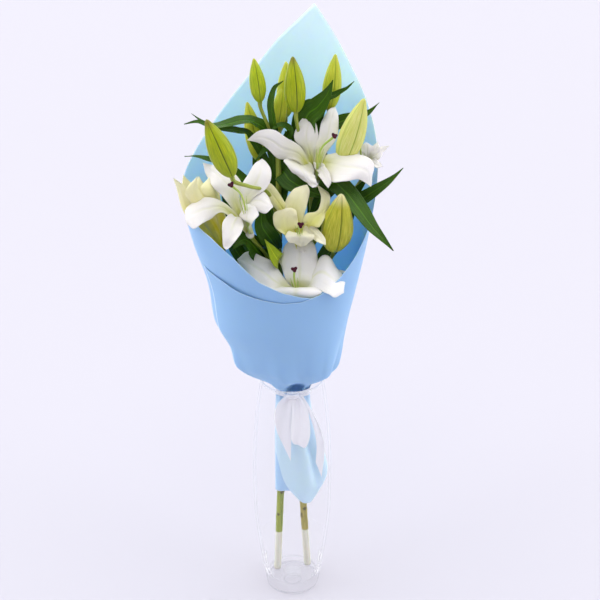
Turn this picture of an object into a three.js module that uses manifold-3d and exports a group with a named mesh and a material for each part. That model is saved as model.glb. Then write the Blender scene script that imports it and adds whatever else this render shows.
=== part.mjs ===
// A hand bouquet of white lilies, rolled in a sheet of blue paper, tied with a
// satin ribbon and standing in a glass vase. Millimetres, +Z up. The origin is
// the middle of the vase's foot, +X is to the viewer's right and -Y faces them.

import * as THREE from 'three';
import { mergeVertices } from 'three/addons/utils/BufferGeometryUtils.js';
import { LoftGeometry } from 'three/addons/geometries/LoftGeometry.js';
import Module from 'manifold-3d';

const wasm = await Module();
wasm.setup();

// ---------------------------------------------------------------- dimensions

const CLEARANCE = 0.3;              // left between pieces that touch
const SIMPLIFY = 0.14;              // slivers finer than this are merged

const VASE_HEIGHT = 350;
const VASE_FOOT_RADIUS = 39;
const VASE_WAIST_RADIUS = 58;
const VASE_RIM_RADIUS = 45;
const VASE_WALL = 3.5;
const VASE_FLOOR = 15;              // thickness of the solid glass foot
const VASE_EDGE = 1;                // the small slope that breaks the glass's edges
const VASE_HEEL = 12;               // above the floor, where the inner wall begins
const FLOOR_ROUND = [[2, 2], [6, 0]];   // the floor's corner: inset from the wall, rise
const VASE_SIDES = 20;
const WATER_LEVEL = 82;
const WATER_GAP = 0.5;              // between the water and the glass
const WATER_SHOULDER = 42;          // where the wall's slope changes under water

const PAPER_THICKNESS = 0.8;
const PAPER_OVERLAP_STEP = 2.2;     // how far the inner end lies inside the outer one
const PAPER_FIRST_ANGLE = 311;      // degrees; the inner end, at the front right
const PAPER_LAST_ANGLE = -154;      // the outer end, at the left
const PAPER_ANGLE_STEP = 15;

const TIE_HEIGHT = 334;
const TIE_CENTRE = [0.5, -1];
const TIE_RADII = [25, 19];
const RIBBON_BAND_WIDTH = 9;        // where it is drawn tight round the paper
const RIBBON_THICKNESS = 0.8;
const BAND_SIDES = 24;
const BAND_GAP = 1;                 // between the paper's neck and the band
const STRIP_ROWS = 8;
const KNOT_SIDES = 8;
const KNOT_STEPS = 4;
const KNOT_RADIUS = 2.8;
const KNOT_ROUTE = [[-8, -26.5, 334], [1, -26.5, 334], [10, -26.5, 334]];

const STEM_RADIUS = 5.3;
const STEM_TAPER = 0.35;            // share of the radius lost towards the top
const STEM_SIDES = 6;
const STEM_STEPS = 9;
const STALK_RADIUS = 2.3;
const STALK_SWELL = 0.9;            // growth of the radius under a flower
const STALK_SIDES = 4;
const STALK_STEPS = 3;
const STALK_APPROACH = 9;           // from here a stalk runs straight into its flower
const STALK_SEAT = 2;               // depth of a stalk's end inside its flower

const SHEET_COLUMNS = 2;
const LEAF_THICKNESS = 1;
const LEAF_ROWS = 4;
const LEAF_ROOT_WIDTH = 7;
const LEAF_TIP_WIDTH = 1;
const LEAF_OUTLINE = [[0, 0], [0.25, 0.79], [0.5, 1], [0.75, 0.67], [1, 0]];
const LEAF_CUP = 0.16;              // rise of the edges, as a share of the half width

const PETAL_THICKNESS = 1.2;
const PETAL_ROWS = 4;
const PETAL_TIP_HALF_WIDTH = 0.6;
const PETAL_TEST = 0.35;            // where along a petal its inner face is found
const PETAL_LAST_SIDE = 0.9;        // beyond this the edges are too close to aim by
const THROAT_CUP = 0.55;            // depth of a petal's curve at its root, over the half width
const THROAT_SHARE = 0.42;          // length of that curve, over the petal's length
const CLOSED_CUP = 0.45;
const PETAL_CROWN = -0.15;          // an open petal's edges roll back this much
const RECEPTACLE_RADIUS = 5.2;
const RECEPTACLE_HEIGHT = 7;
const RECEPTACLE_SIDES = 6;

const BUD_SIDES = 9;
const BUD_STEPS = 5;
const BUD_LOBES = 0.06;             // depth of the three rounded sides
const BUD_GIRTH = [[0, 0.34], [0.08, 0.62], [0.25, 0.94], [0.42, 1], [0.65, 0.82], [0.85, 0.46],
  [1, 0.12]];

const STYLE_RADIUS = 1.3;
const FILAMENT_COUNT = 6;
const FILAMENT_TURN = 0.4;          // radians, where the first one stands
const FILAMENT_ROUTE = [[0, 0.4], [24, 5], [42, 13]];   // rise along the axis, reach from it
const FILAMENT_RADIUS = 0.7;
const FILAMENT_SIDES = 3;
const FILAMENT_STEPS = 2;
const STIGMA_RADIUS = 4;
const STIGMA_LENGTH = 5;
const STIGMA_LOBES = 0.18;
const STIGMA_STEPS = 3;
const STIGMA_GIRTH = [[0, 0.6], [0.33, 0.9], [0.66, 1], [1, 0.83]];

// ------------------------------------------------------------------- helpers

const vector = (x, y, z) => new THREE.Vector3(x, y, z);
const point = (list) => new THREE.Vector3(...list);
const radians = THREE.MathUtils.degToRad;

// Straight-line reading of a small table whose first column rises.
function read(table, value, column = 1) {
  const last = table.length - 1;
  if (value <= table[0][0]) return table[0][column];
  if (value >= table[last][0]) return table[last][column];
  const next = table.findIndex((row) => row[0] > value);
  const [low, high] = [table[next - 1], table[next]];
  const share = (value - low[0]) / (high[0] - low[0]);
  return THREE.MathUtils.lerp(low[column], high[column], share);
}

function solidOf(geometry) {
  const bare = new THREE.BufferGeometry();
  bare.setAttribute('position', geometry.attributes.position);
  bare.setIndex(geometry.index);
  const merged = mergeVertices(bare, 1e-4);
  const asSolid = (triVerts) => new wasm.Manifold(new wasm.Mesh({
    numProp: 3,
    vertProperties: new Float32Array(merged.attributes.position.array),
    triVerts: new Uint32Array(triVerts),
  }));
  const solid = asSolid(merged.index.array);
  return solid.volume() > 0 ? solid : asSolid([...merged.index.array].reverse());
}

function geometryOf(solid) {
  const mesh = solid.getMesh();
  const geometry = new THREE.BufferGeometry();
  geometry.setAttribute('position', new THREE.BufferAttribute(mesh.vertProperties, 3));
  geometry.setIndex(new THREE.BufferAttribute(mesh.triVerts, 1));
  geometry.computeVertexNormals();
  return geometry;
}

const join = (solids) => solids.reduce((whole, solid) => whole.add(solid));

// What is left of a solid once its neighbours are cleared, without loose scraps.
function clearOf(solid, neighbours) {
  let rest = solid;
  for (const neighbour of neighbours) rest = rest.subtract(neighbour);
  const pieces = rest.simplify(SIMPLIFY).decompose();
  return pieces.reduce((best, piece) => (piece.volume() > best.volume() ? piece : best));
}

// A round rod along a smooth curve; the radius is a number or a function of 0..1.
function rod(places, radius, sides, steps, lobes = 0) {
  const curve = new THREE.CatmullRomCurve3(places.map(point), false, 'centripetal');
  const radiusAt = typeof radius === 'function' ? radius : () => radius;
  const frames = curve.computeFrenetFrames(steps, false);
  const sections = [];
  for (let i = 0; i <= steps; i++) {
    const centre = curve.getPointAt(i / steps);
    const ring = [];
    for (let j = 0; j < sides; j++) {
      const angle = (2 * Math.PI * j) / sides;
      const reach = radiusAt(i / steps) * (1 + lobes * Math.cos(3 * angle));
      ring.push(centre.clone()
        .addScaledVector(frames.normals[i], reach * Math.cos(angle))
        .addScaledVector(frames.binormals[i], reach * Math.sin(angle)));
    }
    sections.push(ring);
  }
  return solidOf(new LoftGeometry(sections, { capStart: true, capEnd: true }));
}

// A closed sheet between two faces that are split into triangles alike.
// place(i, j, face) gives the point at row i, column j of face -1 or +1.
function sheet(rows, columns, place) {
  const positions = [];
  const index = [];
  const width = columns + 1;
  const faceSize = (rows + 1) * width;
  for (const face of [1, -1]) {
    for (let i = 0; i <= rows; i++) {
      for (let j = 0; j <= columns; j++) positions.push(...place(i, j, face).toArray());
    }
  }
  for (let i = 0; i < rows; i++) {
    for (let j = 0; j < columns; j++) {
      const a = i * width + j;
      const b = a + 1;
      const c = a + width;
      const d = c + 1;
      index.push(a, b, d, a, d, c);
      index.push(a + faceSize, d + faceSize, b + faceSize);
      index.push(a + faceSize, c + faceSize, d + faceSize);
    }
  }
  const border = [];
  for (let j = 0; j < columns; j++) border.push(j);
  for (let i = 0; i < rows; i++) border.push(i * width + columns);
  for (let j = columns; j > 0; j--) border.push(rows * width + j);
  for (let i = rows; i > 0; i--) border.push(i * width);
  border.forEach((from, k) => {
    const to = border[(k + 1) % border.length];
    index.push(from, from + faceSize, to, to, from + faceSize, to + faceSize);
  });
  const geometry = new THREE.BufferGeometry();
  geometry.setAttribute('position', new THREE.Float32BufferAttribute(positions, 3));
  geometry.setIndex(index);
  return solidOf(geometry);
}

const smooth = (places) => new THREE.CatmullRomCurve3(places.map(point), false, 'centripetal');

// A leaf along a smooth line: its upper face looks along `face`, its edges rise,
// and it turns by `twist` degrees from root to tip.
function leaf(line, width, face, twist, grow) {
  const curve = smooth(line);
  const upper = point(face).normalize();
  const place = (i, j, side) => {
    const t = i / LEAF_ROWS;
    const across = (2 * j) / SHEET_COLUMNS - 1;
    const along = curve.getTangentAt(t);
    const sideways = upper.clone().cross(along).normalize()
      .applyAxisAngle(along, radians(twist) * t);
    const normal = along.clone().cross(sideways);
    const body = (width - LEAF_ROOT_WIDTH / 2) * read(LEAF_OUTLINE, t);
    const half = (LEAF_ROOT_WIDTH * (1 - t) + body + LEAF_TIP_WIDTH) / 2 + grow;
    return curve.getPointAt(t)
      .addScaledVector(sideways, across * half)
      .addScaledVector(normal, LEAF_CUP * half * across * across)
      .addScaledVector(normal, side * (LEAF_THICKNESS / 2 + grow))
      .addScaledVector(along, endGrow(i, LEAF_ROWS, grow));
  };
  return sheet(LEAF_ROWS, SHEET_COLUMNS, place);
}

// How far the first and last rows of a grown sheet move outward along it.
function endGrow(row, rows, grow) {
  if (row === 0) return -grow;
  return row === rows ? grow : 0;
}

// A ring of four-cornered sections, cornersAt(angle), closed on itself.
function hoop(sides, cornersAt) {
  const rings = [];
  for (let j = 0; j < sides; j++) rings.push(cornersAt((2 * Math.PI * j) / sides));
  rings.push(rings[0]);
  return solidOf(new LoftGeometry(rings));
}

// A petal between two edge lines that meet at its tip. Its middle is pressed
// away from the bloom's axis, deepest in the throat.
function petal([left, right, tip], axis, closed, grow) {
  const edges = [left, right].map((line) => smooth([...line, tip]));
  const sideAt = (t) => edges[1].getPointAt(t).sub(edges[0].getPointAt(t)).normalize();
  const alongAt = (t) => edges[0].getTangentAt(t).add(edges[1].getTangentAt(t)).normalize();
  const inward = sideAt(PETAL_TEST).cross(alongAt(PETAL_TEST)).dot(axis) < 0 ? -1 : 1;
  const place = (i, j, side) => {
    const t = i / PETAL_ROWS;
    const across = (2 * j) / SHEET_COLUMNS - 1;
    const [from, to] = edges.map((edge) => edge.getPointAt(t));
    const half = Math.max(from.distanceTo(to) / 2, PETAL_TIP_HALF_WIDTH) + grow;
    const sideways = sideAt(Math.min(t, PETAL_LAST_SIDE));
    const along = alongAt(t);
    const normal = sideways.clone().cross(along).normalize().multiplyScalar(inward);
    const open = closed ? CLOSED_CUP : PETAL_CROWN * Math.min(1, 2 * t);
    const cup = THROAT_CUP * Math.max(0, 1 - t / THROAT_SHARE) + open;
    return from.lerp(to, 0.5)
      .addScaledVector(sideways, across * half)
      .addScaledVector(normal, -cup * half * (1 - across * across))
      .addScaledVector(normal, side * (PETAL_THICKNESS / 2 + grow))
      .addScaledVector(along, endGrow(i, PETAL_ROWS, grow));
  };
  return sheet(PETAL_ROWS, SHEET_COLUMNS, place);
}

// -------------------------------------------------------------------- flowers

// Each bloom: where its petals join the stalk, the way it faces, its style, and
// for each petal its two edges from the root up and the tip where they meet.
// The second, fourth and sixth petal of most blooms are the narrower outer ones.
const BLOOMS = {
  a: {
    base: [-53, -34, 578],
    facing: [-0.28, -0.56, 0.78],
    style: [[-62, -60, 640], [-74, -82, 664]],
    tepals: [
      [[[-55, -32, 580], [-59, -37, 592], [-64, -42, 603], [-88, -38, 627], [-111, -35, 632],
        [-128, -37, 626], [-137, -44, 617]],
        [[-56, -34, 579], [-63, -40, 588], [-68, -47, 598], [-90, -48, 616], [-107, -59, 610],
        [-118, -72, 606], [-127, -73, 604]],
        [-136, -54, 605]],
      [[[-58, -33, 579], [-64, -39, 589], [-70, -46, 598], [-79, -50, 614], [-88, -64, 609],
        [-88, -78, 595], [-87, -81, 582]],
        [[-55, -30, 581], [-59, -36, 593], [-64, -41, 604], [-65, -46, 609], [-62, -54, 603],
        [-64, -72, 598], [-76, -82, 584]],
        [-83, -85, 579]],
      [[[-51, -34, 580], [-52, -41, 592], [-54, -47, 603], [-66, -44, 607], [-65, -44, 618],
        [-60, -43, 625]],
        [[-51, -36, 579], [-53, -45, 588], [-55, -54, 598], [-48, -69, 611], [-43, -66, 621],
        [-45, -54, 625]],
        [-52, -41, 625]],
      [[[-54, -30, 582], [-59, -35, 593], [-63, -41, 605], [-59, -40, 629], [-46, -37, 642],
        [-33, -42, 640]],
        [[-50, -32, 582], [-52, -39, 593], [-53, -45, 605], [-58, -44, 618], [-45, -54, 620],
        [-32, -65, 622]],
        [-23, -60, 628]],
      [[[-54, -32, 581], [-58, -37, 592], [-63, -42, 604], [-67, -38, 632], [-63, -33, 650],
        [-56, -28, 662], [-46, -16, 673]],
        [[-51, -33, 581], [-53, -39, 592], [-55, -46, 604], [-51, -45, 632], [-34, -42, 645],
        [-26, -34, 658], [-28, -22, 670]],
        [-38, -7, 676]],
      [[[-57, -31, 580], [-63, -37, 591], [-68, -42, 602], [-85, -36, 629], [-101, -28, 643],
        [-111, -7, 652]],
        [[-53, -31, 582], [-56, -36, 594], [-59, -41, 606], [-67, -37, 634], [-65, -31, 652],
        [-83, -14, 664]],
        [-117, 7, 666]],
    ],
  },
  b: {
    base: [33, 18, 632],
    facing: [-0.1, -0.58, 0.81],
    style: [[38, -16, 690], [54, -30, 712]],
    tepals: [
      [[[32, 20, 634], [29, 14, 646], [27, 8, 657], [13, -1, 689], [-6, 1, 702], [-23, 3, 712],
        [-42, 6, 710]],
        [[30, 18, 632], [26, 11, 643], [22, 3, 653], [6, -2, 673], [-16, -2, 674], [-30, 0, 687],
        [-44, 3, 695]],
        [-58, 7, 697]],
      [[[30, 21, 634], [27, 15, 646], [24, 9, 657], [15, 8, 683], [4, 13, 697], [7, 20, 711],
        [17, 31, 721]],
        [[34, 21, 635], [34, 15, 647], [34, 10, 659], [32, 8, 683], [36, 11, 697], [34, 17, 711],
        [31, 28, 720]],
        [34, 43, 723]],
      [[[33, 20, 634], [31, 14, 646], [30, 9, 658], [30, 8, 682], [36, 12, 702], [40, 20, 719],
        [51, 35, 731]],
        [[35, 19, 634], [36, 12, 645], [37, 5, 656], [46, 4, 680], [59, 9, 698], [62, 17, 715],
        [61, 30, 727]],
        [58, 47, 731]],
      [[[34, 21, 635], [33, 16, 647], [32, 10, 659], [42, 6, 676], [60, 0, 681], [78, -5, 684],
        [97, -4, 678], [109, -2, 663]],
        [[38, 18, 634], [39, 11, 645], [40, 4, 656], [39, 4, 663], [52, -35, 655], [69, -42, 656],
        [86, -33, 657], [96, -25, 649]],
        [104, -23, 643]],
      [[[33, 20, 634], [32, 14, 646], [31, 9, 658], [29, 5, 668], [33, 1, 658], [40, -30, 654]],
        [[35, 18, 633], [36, 12, 645], [37, 5, 656], [40, -2, 669], [48, -25, 665], [52, -36, 655]],
        [48, -38, 646]],
      [[[28, 20, 633], [25, 13, 644], [21, 6, 655], [14, 6, 673], [-10, -5, 674], [1, -13, 661],
        [15, -12, 650]],
        [[32, 21, 635], [31, 16, 647], [30, 10, 659], [27, 6, 666], [30, 3, 655], [32, -25, 653],
        [36, -29, 647]],
        [28, -30, 644]],
    ],
  },
  c: {
    base: [15, -24, 552],
    facing: [-0.1, -0.59, 0.8],
    style: [[10, -58, 600], [12, -78, 610]],
    tepals: [
      [[[15, -22, 554], [14, -28, 566], [12, -34, 578], [-4, -33, 616], [-19, -21, 638],
        [-31, -9, 645], [-47, 2, 642]],
        [[13, -23, 553], [9, -30, 564], [5, -37, 575], [-14, -35, 608], [-28, -28, 624],
        [-37, -20, 633], [-52, -5, 632]],
        [-64, 4, 635]],
      [[[12, -21, 554], [9, -27, 566], [6, -34, 577], [-6, -34, 609], [-8, -29, 624],
        [2, -22, 638], [11, -19, 642]],
        [[17, -21, 555], [16, -27, 567], [16, -33, 579], [17, -35, 607], [20, -32, 618],
        [22, -29, 628], [24, -23, 637]],
        [21, -18, 644]],
      [[[15, -22, 554], [14, -28, 566], [12, -34, 578], [18, -35, 608], [30, -35, 612],
        [36, -34, 617], [39, -27, 628], [36, -18, 637]],
        [[18, -23, 554], [19, -30, 565], [20, -37, 576], [25, -39, 594], [36, -48, 596],
        [46, -37, 609], [51, -29, 625], [48, -19, 634]],
        [34, -10, 641]],
      [[[19, -22, 555], [20, -29, 566], [20, -35, 578], [18, -36, 599], [27, -38, 597],
        [36, -46, 591], [44, -57, 584]],
        [[15, -21, 555], [13, -26, 567], [11, -32, 579], [15, -37, 586], [23, -41, 581],
        [31, -55, 580], [37, -62, 579]],
        [45, -63, 577]],
      [[[13, -23, 553], [9, -30, 564], [6, -36, 575], [-4, -44, 588], [-8, -52, 584],
        [0, -47, 574]],
        [[15, -22, 554], [14, -28, 566], [13, -34, 578], [19, -40, 586], [30, -55, 586],
        [24, -51, 576]],
        [13, -36, 564]],
      [[[10, -25, 552], [6, -32, 562], [3, -40, 572], [-11, -47, 586], [-22, -46, 597],
        [-23, -41, 612], [-9, -39, 618]],
        [[12, -21, 555], [9, -27, 566], [7, -33, 578], [4, -37, 588], [9, -38, 594], [8, -40, 607],
        [6, -40, 616]],
        [0, -38, 619]],
    ],
  },
  d: {
    base: [10, -30, 475],
    facing: [-0.1, -0.53, 0.84],
    style: [[4, -64, 528], [4, -80, 548]],
    tepals: [
      [[[8, -28, 477], [5, -34, 489], [3, -39, 501], [-9, -39, 519], [-23, -32, 538],
        [-38, -28, 546], [-58, -19, 550]],
        [[7, -31, 475], [3, -38, 486], [-1, -45, 496], [-10, -53, 506], [-31, -62, 510],
        [-48, -52, 517], [-65, -32, 529]],
        [-73, -19, 539]],
      [[[6, -28, 477], [3, -33, 489], [-1, -39, 500], [-6, -36, 522], [-15, -31, 537],
        [-19, -28, 540]],
        [[11, -26, 479], [10, -31, 491], [9, -36, 503], [1, -35, 524], [-7, -31, 540],
        [-14, -27, 544]],
        [-25, -28, 541]],
      [[[10, -28, 477], [9, -33, 490], [8, -38, 502], [-5, -40, 515], [-13, -34, 534],
        [-13, -28, 549], [-7, -21, 562]],
        [[13, -29, 477], [14, -36, 489], [15, -42, 500], [29, -50, 519], [35, -39, 532],
        [34, -29, 551], [29, -22, 564]],
        [13, -13, 570]],
      [[[13, -27, 478], [13, -32, 491], [13, -37, 503], [22, -42, 517], [41, -36, 530],
        [58, -34, 531]],
        [[15, -31, 476], [16, -38, 487], [17, -45, 498], [25, -47, 514], [43, -43, 526],
        [59, -38, 526]],
        [76, -35, 527]],
      [[[12, -29, 477], [13, -34, 489], [13, -40, 501], [22, -44, 518], [36, -33, 544],
        [49, -33, 549], [61, -42, 536], [70, -49, 523]],
        [[13, -31, 476], [14, -39, 487], [15, -47, 497], [22, -54, 509], [36, -68, 515],
        [48, -79, 514], [57, -82, 511]],
        [69, -68, 511]],
      [[[6, -27, 477], [3, -33, 489], [0, -38, 501], [-9, -48, 510], [-28, -63, 513],
        [-16, -62, 502]],
        [[11, -26, 479], [11, -31, 491], [10, -36, 503], [19, -49, 510], [40, -73, 516],
        [30, -70, 504]],
        [9, -40, 488]],
    ],
  },
  e: {
    base: [95, 22, 643],
    facing: [0.15, -0.45, 0.88],
    style: [[92, 10, 676], [90, 2, 694]],
    tepals: [
      [[[94, 24, 645], [94, 20, 658], [94, 19, 666], [95, 15, 674], [91, 16, 682], [94, 18, 687]],
        [[96, 24, 645], [100, 20, 657], [102, 18, 664], [106, 16, 677], [109, 17, 684],
        [105, 18, 687]],
        [99, 21, 690]],
      [[[96, 26, 646], [98, 22, 659], [100, 21, 666], [104, 16, 677], [113, 17, 683],
        [121, 20, 685]],
        [[99, 23, 644], [104, 18, 655], [107, 16, 662], [107, 14, 668], [116, 10, 670],
        [123, 17, 678]],
        [130, 22, 685]],
      [[[98, 22, 644], [102, 17, 655], [106, 14, 661], [107, 14, 670], [116, 9, 668]],
        [[96, 24, 645], [99, 20, 657], [101, 19, 665], [102, 14, 665], [110, -1, 663]],
        [121, 3, 662]],
      [[[98, 25, 645], [102, 21, 657], [105, 19, 664], [104, 15, 666], [106, 11, 659]],
        [[93, 26, 646], [94, 22, 659], [95, 21, 667], [94, 15, 666], [94, 15, 658]],
        [101, 14, 651]],
      [[[92, 23, 645], [92, 18, 657], [91, 15, 665], [95, 15, 666], [85, 4, 668]],
        [[95, 24, 645], [97, 21, 658], [98, 19, 666], [95, 15, 677], [87, 15, 678]],
        [78, 12, 672]],
      [[[95, 26, 646], [98, 22, 659], [99, 21, 666], [103, 16, 677], [106, 19, 684]],
        [[99, 24, 644], [104, 19, 656], [107, 16, 663], [110, 15, 674], [118, 17, 679]],
        [115, 23, 690]],
    ],
  },
  f: {
    base: [-93, -16, 553],
    facing: [-0.38, 0.02, 0.92],
    style: null,
    tepals: [
      [[[-95, -18, 553], [-99, -20, 559], [-105, -22, 564], [-123, -20, 581], [-142, -21, 607],
        [-148, -30, 638]],
        [[-93, -19, 554], [-94, -21, 561], [-96, -25, 572], [-110, -31, 600], [-127, -34, 626],
        [-135, -39, 647]],
        [-151, -45, 662]],
      [[[-94, -21, 553], [-98, -23, 559], [-103, -27, 570], [-117, -33, 599], [-132, -34, 624],
        [-137, -40, 644]],
        [[-90, -19, 555], [-91, -21, 562], [-91, -22, 571], [-99, -27, 601], [-113, -33, 628],
        [-121, -38, 649]],
        [-121, -38, 662]],
      [[[-92, -18, 554], [-93, -20, 561], [-96, -25, 575], [-103, -28, 604], [-112, -30, 627],
        [-117, -33, 645]],
        [[-91, -16, 555], [-91, -15, 562], [-86, -14, 568], [-87, -12, 596], [-95, -11, 620],
        [-102, -10, 638]],
        [-108, -11, 652]],
      [[[-91, -12, 555], [-93, -9, 561], [-95, -6, 570], [-107, 2, 599], [-114, 5, 623]],
        [[-89, -16, 556], [-89, -16, 563], [-85, -14, 571], [-90, -12, 604], [-96, -10, 631]],
        [-99, -11, 648]],
      [[[-93, -13, 554], [-95, -10, 560], [-102, -6, 568], [-123, -2, 597], [-133, 3, 624]],
        [[-91, -15, 555], [-91, -14, 562], [-90, -14, 576], [-103, -3, 609], [-114, 1, 633]],
        [-123, 9, 647]],
      [[[-97, -12, 552], [-101, -10, 558], [-104, -8, 562], [-130, -7, 597], [-145, -6, 624]],
        [[-92, -11, 554], [-94, -9, 561], [-96, -5, 570], [-117, 4, 604], [-129, 8, 631]],
        [-144, 11, 648]],
    ],
  },
};

// Buds: root, tip and greatest radius.
const BUDS = {
  upper_left: [[-41, 20, 745], [-48, 20, 802], 10.5],
  upper_middle: [[6, 14, 733], [2, 17, 805], 14],
  upper_back: [[-8, 46, 718], [-7, 50, 791], 12.5],
  middle_pale: [[-22, 33, 699], [-11, 41, 762], 11],
  upper_right: [[50, 50, 726], [58, 54, 800], 12.5],
  left_shaded: [[-43, 40, 659], [-59, 46, 738], 12.5],
  left_front: [[-75, -60, 670], [-105, -66, 745], 16],
  right_tall: [[67, 6, 668], [94, -2, 755], 17],
  right_opening: [[56, -22, 554], [65, -44, 640], 21],
};

// ---------------------------------------------------------------- leafy stems

// The main stems stand in the vase and run up through the tie.
const STEMS = {
  left: {
    route: [[-23, 8, 15.8], [-17, 0, 168], [-10, 0, 300], [-8, 1, 340], [-13, 4, 440],
      [-18, 8, 560], [-17, 13, 650], [-19, 20, 700]],
    stalks: {
      upper_left: [[-19, 19, 690], [-30, 20, 712]],
      middle_pale: [[-19, 18, 685], [-20, 27, 690]],
      upper_back: [[-19, 20, 695], [-14, 34, 704]],
      left_shaded: [[-17, 12, 615], [-32, 30, 634]],
      left_front: [[-18, 7, 585], [-30, -28, 636], [-52, -50, 652]],
      a: [[-17, 6, 500], [-36, -12, 545]],
      f: [[-15, 5, 470], [-50, -8, 500], [-82, -22, 532]],
      d: [[-11, 2, 390], [0, -10, 430]],
    },
  },
  right: {
    route: [[23, 18, 15.8], [16, 5, 142], [10, 0, 300], [8, 0, 340], [18, 4, 440],
      [28, 12, 560], [25, 22, 640], [17, 26, 690]],
    stalks: {
      upper_middle: [[18, 26, 682], [10, 18, 704]],
      upper_right: [[21, 25, 670], [36, 38, 696]],
      right_tall: [[27, 14, 580], [50, 14, 620]],
      right_opening: [[22, 7, 490], [42, -6, 518]],
      b: [[27, 13, 575], [31, 19, 605]],
      e: [[27, 11, 545], [50, 22, 580], [80, 26, 616]],
      c: [[18, 4, 450], [20, -6, 500]],
    },
  },
};

// Leaves: stem, middle line from root to tip, greatest width, the way the upper
// face looks, and the twist in degrees from root to tip.
const LEAVES = [
  ['right', [[20, 24, 640], [18, 26, 716], [35, 24, 738], [47, 22, 755], [54, 20, 774]],
    38, [-0.5, -0.8, 0.2], 0],
  ['right', [[20, 25, 655], [40, 34, 736], [59, 34, 752], [72, 32, 760], [82, 28, 770]],
    13, [0, -0.8, 0.6], 20],
  ['right', [[24, 24, 640], [45, 40, 697], [65, 42, 712], [88, 36, 720], [102, 28, 729], [115, 20, 744]],
    19, [0, -0.8, 0.6], 0],
  ['left', [[-17, 13, 640], [-31, 24, 700], [-64, 10, 723], [-102, -20, 724], [-137, -22, 727]],
    19, [0, -0.6, 0.8], 15],
  ['left', [[-17, 13, 632], [-52, 20, 696], [-70, 10, 709], [-95, -2, 717], [-112, -10, 726],
    [-128, -12, 738]],
    11, [0, -0.6, 0.8], 0],
  ['left', [[-17, 10, 600], [-75, 26, 644], [-93, 20, 658], [-107, 2, 672], [-124, -2, 678],
    [-140, -4, 678]],
    17, [0, -0.5, 0.9], 0],
  ['right', [[27, 14, 590], [52, -8, 642], [70, -20, 636], [87, -32, 618], [106, -44, 595],
    [134, -54, 565]],
    29, [0.3, -0.7, 0.6], 0],
  ['right', [[28, 11, 565], [78, 2, 609], [94, -2, 619], [112, -6, 633], [130, -8, 647], [147, -8, 664]],
    19, [0, -0.8, 0.6], 0],
  ['right', [[28, 10, 560], [65, 6, 606], [81, 8, 620], [93, 8, 634], [103, 6, 648]],
    18, [0, -0.9, 0.4], 0],
  ['left', [[-18, 9, 590], [-14, 16, 649], [-2, 4, 643], [13, -4, 636], [31, -8, 629], [52, -14, 623]],
    30, [-0.1, -0.8, 0.6], 0],
  ['left', [[-14, 5, 470], [-14, -34, 533], [-19, -42, 549], [-27, -44, 564], [-35, -40, 576]],
    25, [0.5, -0.8, -0.3], 150],
  ['left', [[-17, 7, 520], [-40, -14, 542], [-54, -30, 567], [-65, -38, 574], [-78, -46, 563]],
    30, [0, -0.7, 0.7], 0],
  ['left', [[-18, 16, 655], [-7, 20, 691], [-3, 18, 708], [-14, 14, 716], [-24, 10, 711], [-28, 12, 700]],
    12, [0, -0.5, 0.9], 0],
  ['left', [[-18, 18, 690], [-25, 12, 728], [-26, 10, 750], [-21, 7, 767], [-10, 3, 777]],
    11, [-0.5, -0.8, 0.2], 0],
  ['left', [[-17, 12, 640], [-23, 18, 690], [-34, 14, 683], [-48, 8, 668]],
    14, [-0.2, -0.8, 0.6], 0],
  ['left', [[-16, 7, 540], [-31, -20, 573], [-39, -24, 589], [-39, -20, 604], [-31, -14, 614]],
    26, [0.1, -0.9, 0.4], 0],
];

// The last two points of a stalk: just below its bud or bloom, and just inside it.
function seatOf(name) {
  const bloom = BLOOMS[name];
  const root = point(bloom ? bloom.base : BUDS[name][0]);
  const way = bloom ? point(bloom.facing) : point(BUDS[name][1]).sub(root);
  way.normalize();
  const at = (distance) => root.clone().addScaledVector(way, distance).toArray();
  return [at(-STALK_APPROACH), at(STALK_SEAT)];
}

// Rods and blades of one leafy stem, all thicker by `grow` for use as a cutter.
function leafyStem(side, grow = 0) {
  const { route, stalks } = STEMS[side];
  const taper = (t) => STEM_RADIUS * (1 - STEM_TAPER * t * t) + grow;
  const parts = [rod(route, taper, STEM_SIDES, STEM_STEPS)];
  for (const [name, places] of Object.entries(stalks)) {
    const swell = (t) => STALK_RADIUS + STALK_SWELL * t ** 6 + grow;
    parts.push(rod([...places, ...seatOf(name)], swell, STALK_SIDES, STALK_STEPS));
  }
  for (const [owner, line, width, face, twist] of LEAVES) {
    if (owner === side) parts.push(leaf(line, width, face, twist, grow));
  }
  return join(parts);
}

function budShape(name, grow = 0) {
  const [root, tip, radius] = BUDS[name];
  const radiusAt = (t) => radius * read(BUD_GIRTH, t) + grow;
  const middle = root.map((value, k) => (value + tip[k]) / 2);
  return rod([root, middle, tip], radiusAt, BUD_SIDES, BUD_STEPS, BUD_LOBES);
}

function bloomShape(name, grow = 0) {
  const { base, facing, tepals } = BLOOMS[name];
  const axis = point(facing).normalize();
  const closed = name === 'f';
  const parts = tepals.map((tepal) => petal(tepal, axis, closed, grow));
  const neck = [base, point(base).addScaledVector(axis, RECEPTACLE_HEIGHT).toArray()];
  parts.push(rod(neck, () => RECEPTACLE_RADIUS + grow, RECEPTACLE_SIDES, 1));
  return join(parts);
}

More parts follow.
